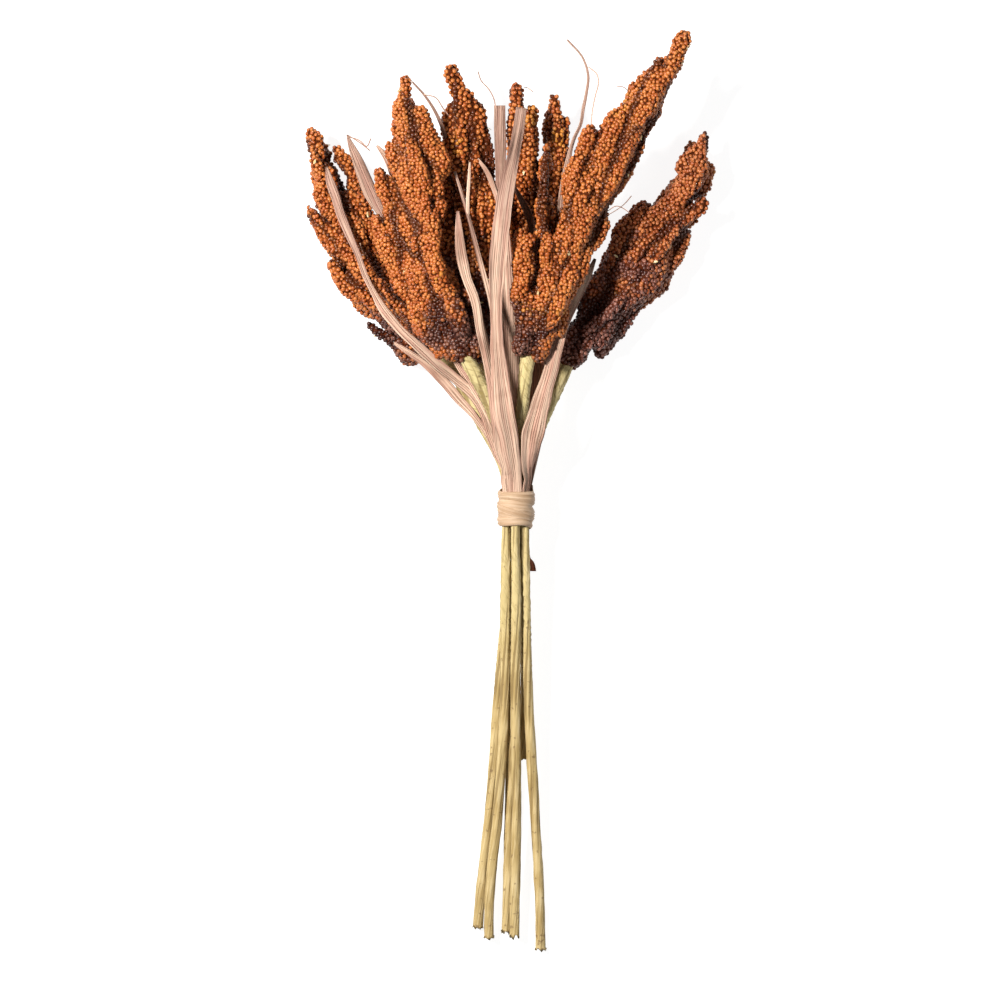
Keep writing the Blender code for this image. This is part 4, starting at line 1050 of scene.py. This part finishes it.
# %% The paper's finish
def paper_finish():
    """Dull straw, fresher and more crumpled under the heads and just below the tie, and specked dark where
    the cut end frays.
    """
    f = Finish("stem wrap", Specular_IOR_Level=0.3)
    uv = f.node("ShaderNodeUVMap", {"uv_map": "UVMap"})
    place = f.node("ShaderNodeTexCoord", output="Object")

    def streaks(across, along, detail, turn=0.0):
        flat = f.node("ShaderNodeMapping", {},
                      {"Vector": uv, "Scale": (18.0, 1.0, 1.0), "Rotation": (0, 0, turn)})
        stretched = f.node("ShaderNodeMapping", {}, {"Vector": flat, "Scale": (across, along, 1.0)})
        return f.cloud(stretched, 1.0, detail)

    high = f.node("ShaderNodeSeparateXYZ", {}, {0: place}, "Y")
    wrapped = high.ramp(0.012, 0.035)
    crease, fibre = streaks(0.6, 0.02, 2.0), streaks(1.6, 0.06, 3.0)
    pleat = streaks(1.1, 0.16, 3.0, 0.75)
    blotch, speck = f.cloud(place, 55.0, 3.0), f.cloud(place, 420.0, 2.0)
    base = f.mix(blotch.ramp(0.35, 0.65), (0.37, 0.26, 0.1), (0.49, 0.37, 0.17))
    crumpled = f.maths("MAXIMUM", wrapped, high.ramp(-0.1, -0.05) * 0.6)
    fresh = f.mix(crumpled * 0.75, base, (0.58, 0.49, 0.235))
    # Paler streaks along the fibres: partly wear, partly painted highlights.
    worn_and_highlit = f.mix(fibre.ramp(0.5, 0.68) * 0.55, fresh, (0.68, 0.56, 0.33))
    # Painted shade: dark lines where the crease pattern sinks the bump, and dark pleats where the crumpled
    # paper's pleat pattern sinks it.
    shade_in_creases = f.mix((1 - crease.ramp(0.38, 0.47)) * 0.7, worn_and_highlit, (0.16, 0.1, 0.03))
    shade_in_pleats = f.mix((1 - pleat.ramp(0.36, 0.46)) * crumpled * 0.65, shade_in_creases, (0.26, 0.19, 0.06))
    end = 1 - high.ramp(-0.2285, -0.205)
    specked = f.mix((speck + end * 0.12).ramp(0.66, 0.72) * 0.6, shade_in_pleats, (0.13, 0.07, 0.03))
    return f.done(specked, 0.6 + fibre * 0.25, crease + fibre * 0.4 + pleat * crumpled * 1.5,
                  depth=0.0007, strength=0.8)


paper = paper_finish()

# %% Wind the stems
STEM_SIDES = 18
STEM_STEP = 1.2          # from one ring of the tube to the next
TWIST = 240.0            # the paper goes once round in this length
SEAM_DEPTH = 0.28        # of the two lines where the paper's edges meet


def stem_radius(y):
    """Thin in the tie, thicker on either side of it, and most under the head."""
    loose = (LOOSE_RADIUS - STEM_RADIUS) * min(1, max(0, (TIE_LOW - y) / 40))
    return STEM_RADIUS + loose + (WRAP_RADIUS - STEM_RADIUS) * min(1.2, max(0, (y - 5) / 42))


def wound_tube(name):
    """One stem with the relief of its twisted paper, and a ragged hollow at its cut end."""
    path, run = stem_route(name, STEM_STEP)
    side, lift = across(path)
    along = np.cross(lift, side)
    turn = np.arange(STEM_SIDES) / STEM_SIDES
    ring = (np.cos(2 * np.pi * turn)[None, :, None] * side[:, None]
            + np.sin(2 * np.pi * turn)[None, :, None] * lift[:, None])
    seed = sorted(STEMS).index(name) * 3.7
    reach = np.empty((len(path), STEM_SIDES))
    for i, spot in enumerate(path):
        wrapped = min(1, max(0, (spot[1] - 15) / 30))
        below = min(1, max(0, (spot[1] + 100) / 40)) * min(1, max(0, (TIE_LOW - spot[1]) / 6))
        twisted = turn + run[i] / TWIST + seed
        folds = 0.1 * np.cos(4 * np.pi * twisted) + 0.07 * np.cos(10 * np.pi * (twisted + run[i] / 400))
        sway = 0.6 * drift(run[i] * 0.02, seed, 1.0)
        seams = [1 - min(1, 14 * abs((t * 2 + sway) % 1 - 0.5)) for t in twisted]
        pace = 0.12 + 0.3 * wrapped + 0.15 * below
        wrinkles = [drift(3 * math.cos(2 * math.pi * t), 3 * math.sin(2 * math.pi * t), run[i] * pace + seed)
                    for t in turn]
        reach[i] = (stem_radius(spot[1]) * (1 + 0.08 * drift(run[i] * 0.04, seed, 7.0)) + folds
                    - SEAM_DEPTH * np.array(seams)
                    + (0.25 + 0.4 * wrapped + 0.25 * below) * np.array(wrinkles))
    spots = path[:, None, :3] + reach[:, :, None] * ring
    ragged = np.array([drift(4 * math.cos(2 * math.pi * t), 4 * math.sin(2 * math.pi * t), seed)
                       for t in turn])
    flare = (path[0, :3] + (reach[0] * (1.12 + 0.35 * ragged))[:, None] * ring[0]
             + (2.6 * ragged)[:, None] * along[0])
    hollow = path[0, :3] + along[0] * 1.6 + (reach[0] * 0.55)[:, None] * ring[0]
    rings = np.concatenate([hollow[None], flare[None], spots[1:]])
    runs = np.concatenate([[run[0] - 2], run])
    faces = [list(range(STEM_SIDES)), [len(rings) * STEM_SIDES - 1 - j for j in range(STEM_SIDES)]]
    uv = [(0.5, 0.0)] * (2 * STEM_SIDES)
    for i in range(len(rings) - 1):
        for j in range(STEM_SIDES):
            k = (j + 1) % STEM_SIDES
            faces.append([i * STEM_SIDES + j, i * STEM_SIDES + k, (i + 1) * STEM_SIDES + k,
                          (i + 1) * STEM_SIDES + j])
            low, high = j / STEM_SIDES, (j + 1) / STEM_SIDES
            uv += [(low + runs[i] / TWIST, runs[i]), (high + runs[i] / TWIST, runs[i]),
                   (high + runs[i + 1] / TWIST, runs[i + 1]), (low + runs[i + 1] / TWIST, runs[i + 1])]
    return new_piece("paper_" + name, rings.reshape(-1, 3), faces, uv)


for name in STEMS:
    piece = wound_tube(name)
    piece.data.materials.append(paper)
    settle(piece, name)
    print(name, "has", len(piece.data.polygons), "faces")

# %% [markdown]
# ## The raffia tie
#
# A flat strip of raffia goes about four times round the bundle. It is one ribbon on a spiral: each turn
# lies a little higher than the last and overlaps it, and a short narrow ribbon crosses them where the
# end is tucked in. The ribbon is a thin closed sheet, as a leaf is, with creases along it instead of
# ribs.

# %% The raffia's finish
def raffia_finish():
    """Pale straw in broad bands, with fine darker fibres along the strip."""
    f = Finish("raffia", Specular_IOR_Level=0.4)
    uv = f.node("ShaderNodeUVMap", {"uv_map": "UVMap"})
    fibre = f.cloud(f.node("ShaderNodeMapping", {}, {"Vector": uv, "Scale": (24.0, 0.05, 1.0)}), 1.0, 3.0)
    broad = f.cloud(f.node("ShaderNodeMapping", {}, {"Vector": uv, "Scale": (4.0, 0.04, 1.0)}), 1.0, 3.0)
    base = f.mix(broad.ramp(0.35, 0.65), (0.39, 0.25, 0.145), (0.555, 0.4, 0.27))
    lines = f.mix(fibre.ramp(0.48, 0.72) * 0.55, base, (0.33, 0.17, 0.075))
    return f.done(lines, 0.45 + fibre * 0.25, fibre * 0.6 + broad, depth=0.0005, strength=0.7)


raffia = raffia_finish()

# %% Wind the tie
TURNS, STRIP_WIDTH, COLUMNS = 4.2, 6.2, 13
LOCK_TURNS, LOCK_WIDTH = 0.62, 3.2      # the strip's end, which crosses the turns
STEPS = 40               # places in one turn
STRIP_THICKNESS = 0.4
KNOT = 0.9               # how far every second turn bulges on the right


def ribbon(centre, width, seed):
    """A thin closed ribbon along a list of (point, outward direction), with creases along it."""
    u = np.linspace(-1, 1, COLUMNS)
    spots, outs = (np.array(part) for part in zip(*centre))
    along = np.gradient(spots, axis=0)
    along /= np.linalg.norm(along, axis=1)[:, None]
    side = np.cross(along, outs)
    side /= np.linalg.norm(side, axis=1)[:, None]
    run = np.concatenate([[0], np.cumsum(np.linalg.norm(np.diff(spots, axis=0), axis=1))])
    top, bottom = [], []
    for i in range(len(spots)):
        rough = np.array([drift(run[i] * 0.05, j * 0.8, seed) for j in range(COLUMNS)])
        half = width / 2 * (1 + 0.55 * drift(run[i] * 0.035, seed, 3.0))
        height = 0.75 * (1 - u**4) - 0.35 + 0.55 * rough
        row = spots[i] + side[i] * (half * u)[:, None] + outs[i] * height[:, None]
        top.append(row + outs[i] * STRIP_THICKNESS / 2)
        bottom.append(row - outs[i] * STRIP_THICKNESS / 2)
    return close_sheet(np.array(top), np.array(bottom), (u + 1) / 2 + seed, run)


def wound(first_angle, turns, y_start, y_end, reach, grow, seed):
    """Places on a loose spiral round the bundle, with the way out from its middle."""
    count = int(STEPS * turns) + 1
    made = []
    for n in range(count):
        share = n / (count - 1)
        angle = first_angle + share * turns * 2 * math.pi
        out = np.array((math.cos(angle), 0.0, math.sin(angle)))
        knot = KNOT * max(0.0, out[0]) ** 5 * (round(angle / (2 * math.pi)) % 2)
        y = y_start + (y_end - y_start) * share + 1.3 * drift(angle * 0.55, seed, 0.0)
        away = reach + grow * share + knot + 0.5 * drift(angle * 0.8, seed, 6.0)
        made.append((np.array((TIE_X, y, TIE_Z)) + out * away, out))
    return made


winding = ribbon(wound(math.radians(-60), TURNS, TIE_LOW + 2.3, TIE_HIGH - 0.9, 8.0, 0.3, 1.0),
                 STRIP_WIDTH, 1.0)
locking = ribbon(wound(math.radians(10), LOCK_TURNS, TIE_LOW + 4.5, TIE_HIGH - 6.5, 8.5, 0.1, 2.0),
                 LOCK_WIDTH, 2.0)
tie = join_sheets("raffia_tie", [winding, locking])
tie.data.materials.append(raffia)
settle(tie, "tie")
print("tie has", len(tie.data.polygons), "faces")

# %% [markdown]
# ## Loose hairs
#
# Here and there a dry hair stands off the grains. Each is a very thin blade, so the leaf's function
# makes it.

# %% Hairs
HAIR_WIDTH = 0.35
HAIRS = [
    [(48.5, 138, 46), (54, 141, 49), (58, 144, 51), (61.5, 148, 53)],
    [(49.5, 140.5, 46), (54.5, 143, 49), (58, 141.5, 50), (60.5, 139.5, 51)],
    [(60, 200, 55), (57.5, 202, 57), (54, 202.5, 58)],
    [(8, 203, 29), (10, 202.5, 31), (12.5, 200.5, 32)],
    [(36, 70, 20), (33.5, 69, 24), (30, 67, 25)],
    [(-70, 118, 27), (-73, 121.5, 31), (-74, 125, 32)],
]
hairs = join_sheets("stray_hairs", [blade([(*spot, HAIR_WIDTH) for spot in hair], UP, 61.0 + n)
                                    for n, hair in enumerate(HAIRS)])
hairs.data.materials.append(husk)
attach(hairs, "root")
print(len(HAIRS), "hairs")

# %% [markdown]
# ## The table, the light and the camera
#
# The bunch lies flat, and the camera looks straight down on it, as in the photograph. A long lens from
# far above keeps the lines parallel. A soft lamp on the left models the grains, a weak broad one on the
# right and the pale surroundings fill the shadows.

# %% Stage and lights
floor_mesh = bpy.data.meshes.new("floor")
floor_mesh.from_pydata([(-3, -3, 0), (3, -3, 0), (3, 3, 0), (-3, 3, 0)], [], [(0, 1, 2, 3)])
floor = bpy.data.objects.new("floor", floor_mesh)
bpy.context.scene.collection.objects.link(floor)
f = Finish("pale floor", Specular_IOR_Level=0.0, Emission_Color=(1, 1, 1, 1), Emission_Strength=0.9)
floor_mesh.materials.append(f.done((0.3, 0.3, 0.3, 1), 0.9))


def lamp(name, place, aim, size, power, colour):
    """A square soft lamp at a place, turned towards a point."""
    data = bpy.data.lights.new(name, "AREA")
    data.size, data.energy, data.color = size, power, colour
    made = bpy.data.objects.new(name, data)
    made.location = place
    made.rotation_euler = (Vector(aim) - Vector(place)).to_track_quat("-Z", "Y").to_euler()
    bpy.context.scene.collection.objects.link(made)


lamp("key", (-0.75, 0.36, 1.25), (0, 0.05, 0.02), 0.22, 41, (1.0, 0.97, 0.93))
lamp("fill", (0.9, -0.3, 1.2), (0, 0, 0), 1.0, 4, (0.96, 0.98, 1.0))
world = bpy.data.worlds.new("studio")
bpy.context.scene.world = world
world.use_nodes = True
world.node_tree.nodes["Background"].inputs["Color"].default_value = (1, 1, 1, 1)
world.node_tree.nodes["Background"].inputs["Strength"].default_value = 0.14
bpy.context.scene.view_settings.view_transform = "Standard"

# %% Camera
AIM_X, AIM_Y = -4.0, -3.5       # in millimetres
HEIGHT, FIELD, BUNCH_HEIGHT = 6.0, 0.5, 0.03    # in metres: the picture is FIELD wide at BUNCH_HEIGHT
lens = bpy.data.cameras.new("camera")
lens.sensor_width = 36
lens.lens = lens.sensor_width * (HEIGHT - BUNCH_HEIGHT) / FIELD
lens.clip_end = 20
camera = bpy.data.objects.new("camera", lens)
camera.location = (AIM_X * MM, AIM_Y * MM, HEIGHT)
bpy.context.scene.collection.objects.link(camera)
bpy.context.scene.camera = camera
print("camera", lens.lens, "mm lens at", HEIGHT, "m")
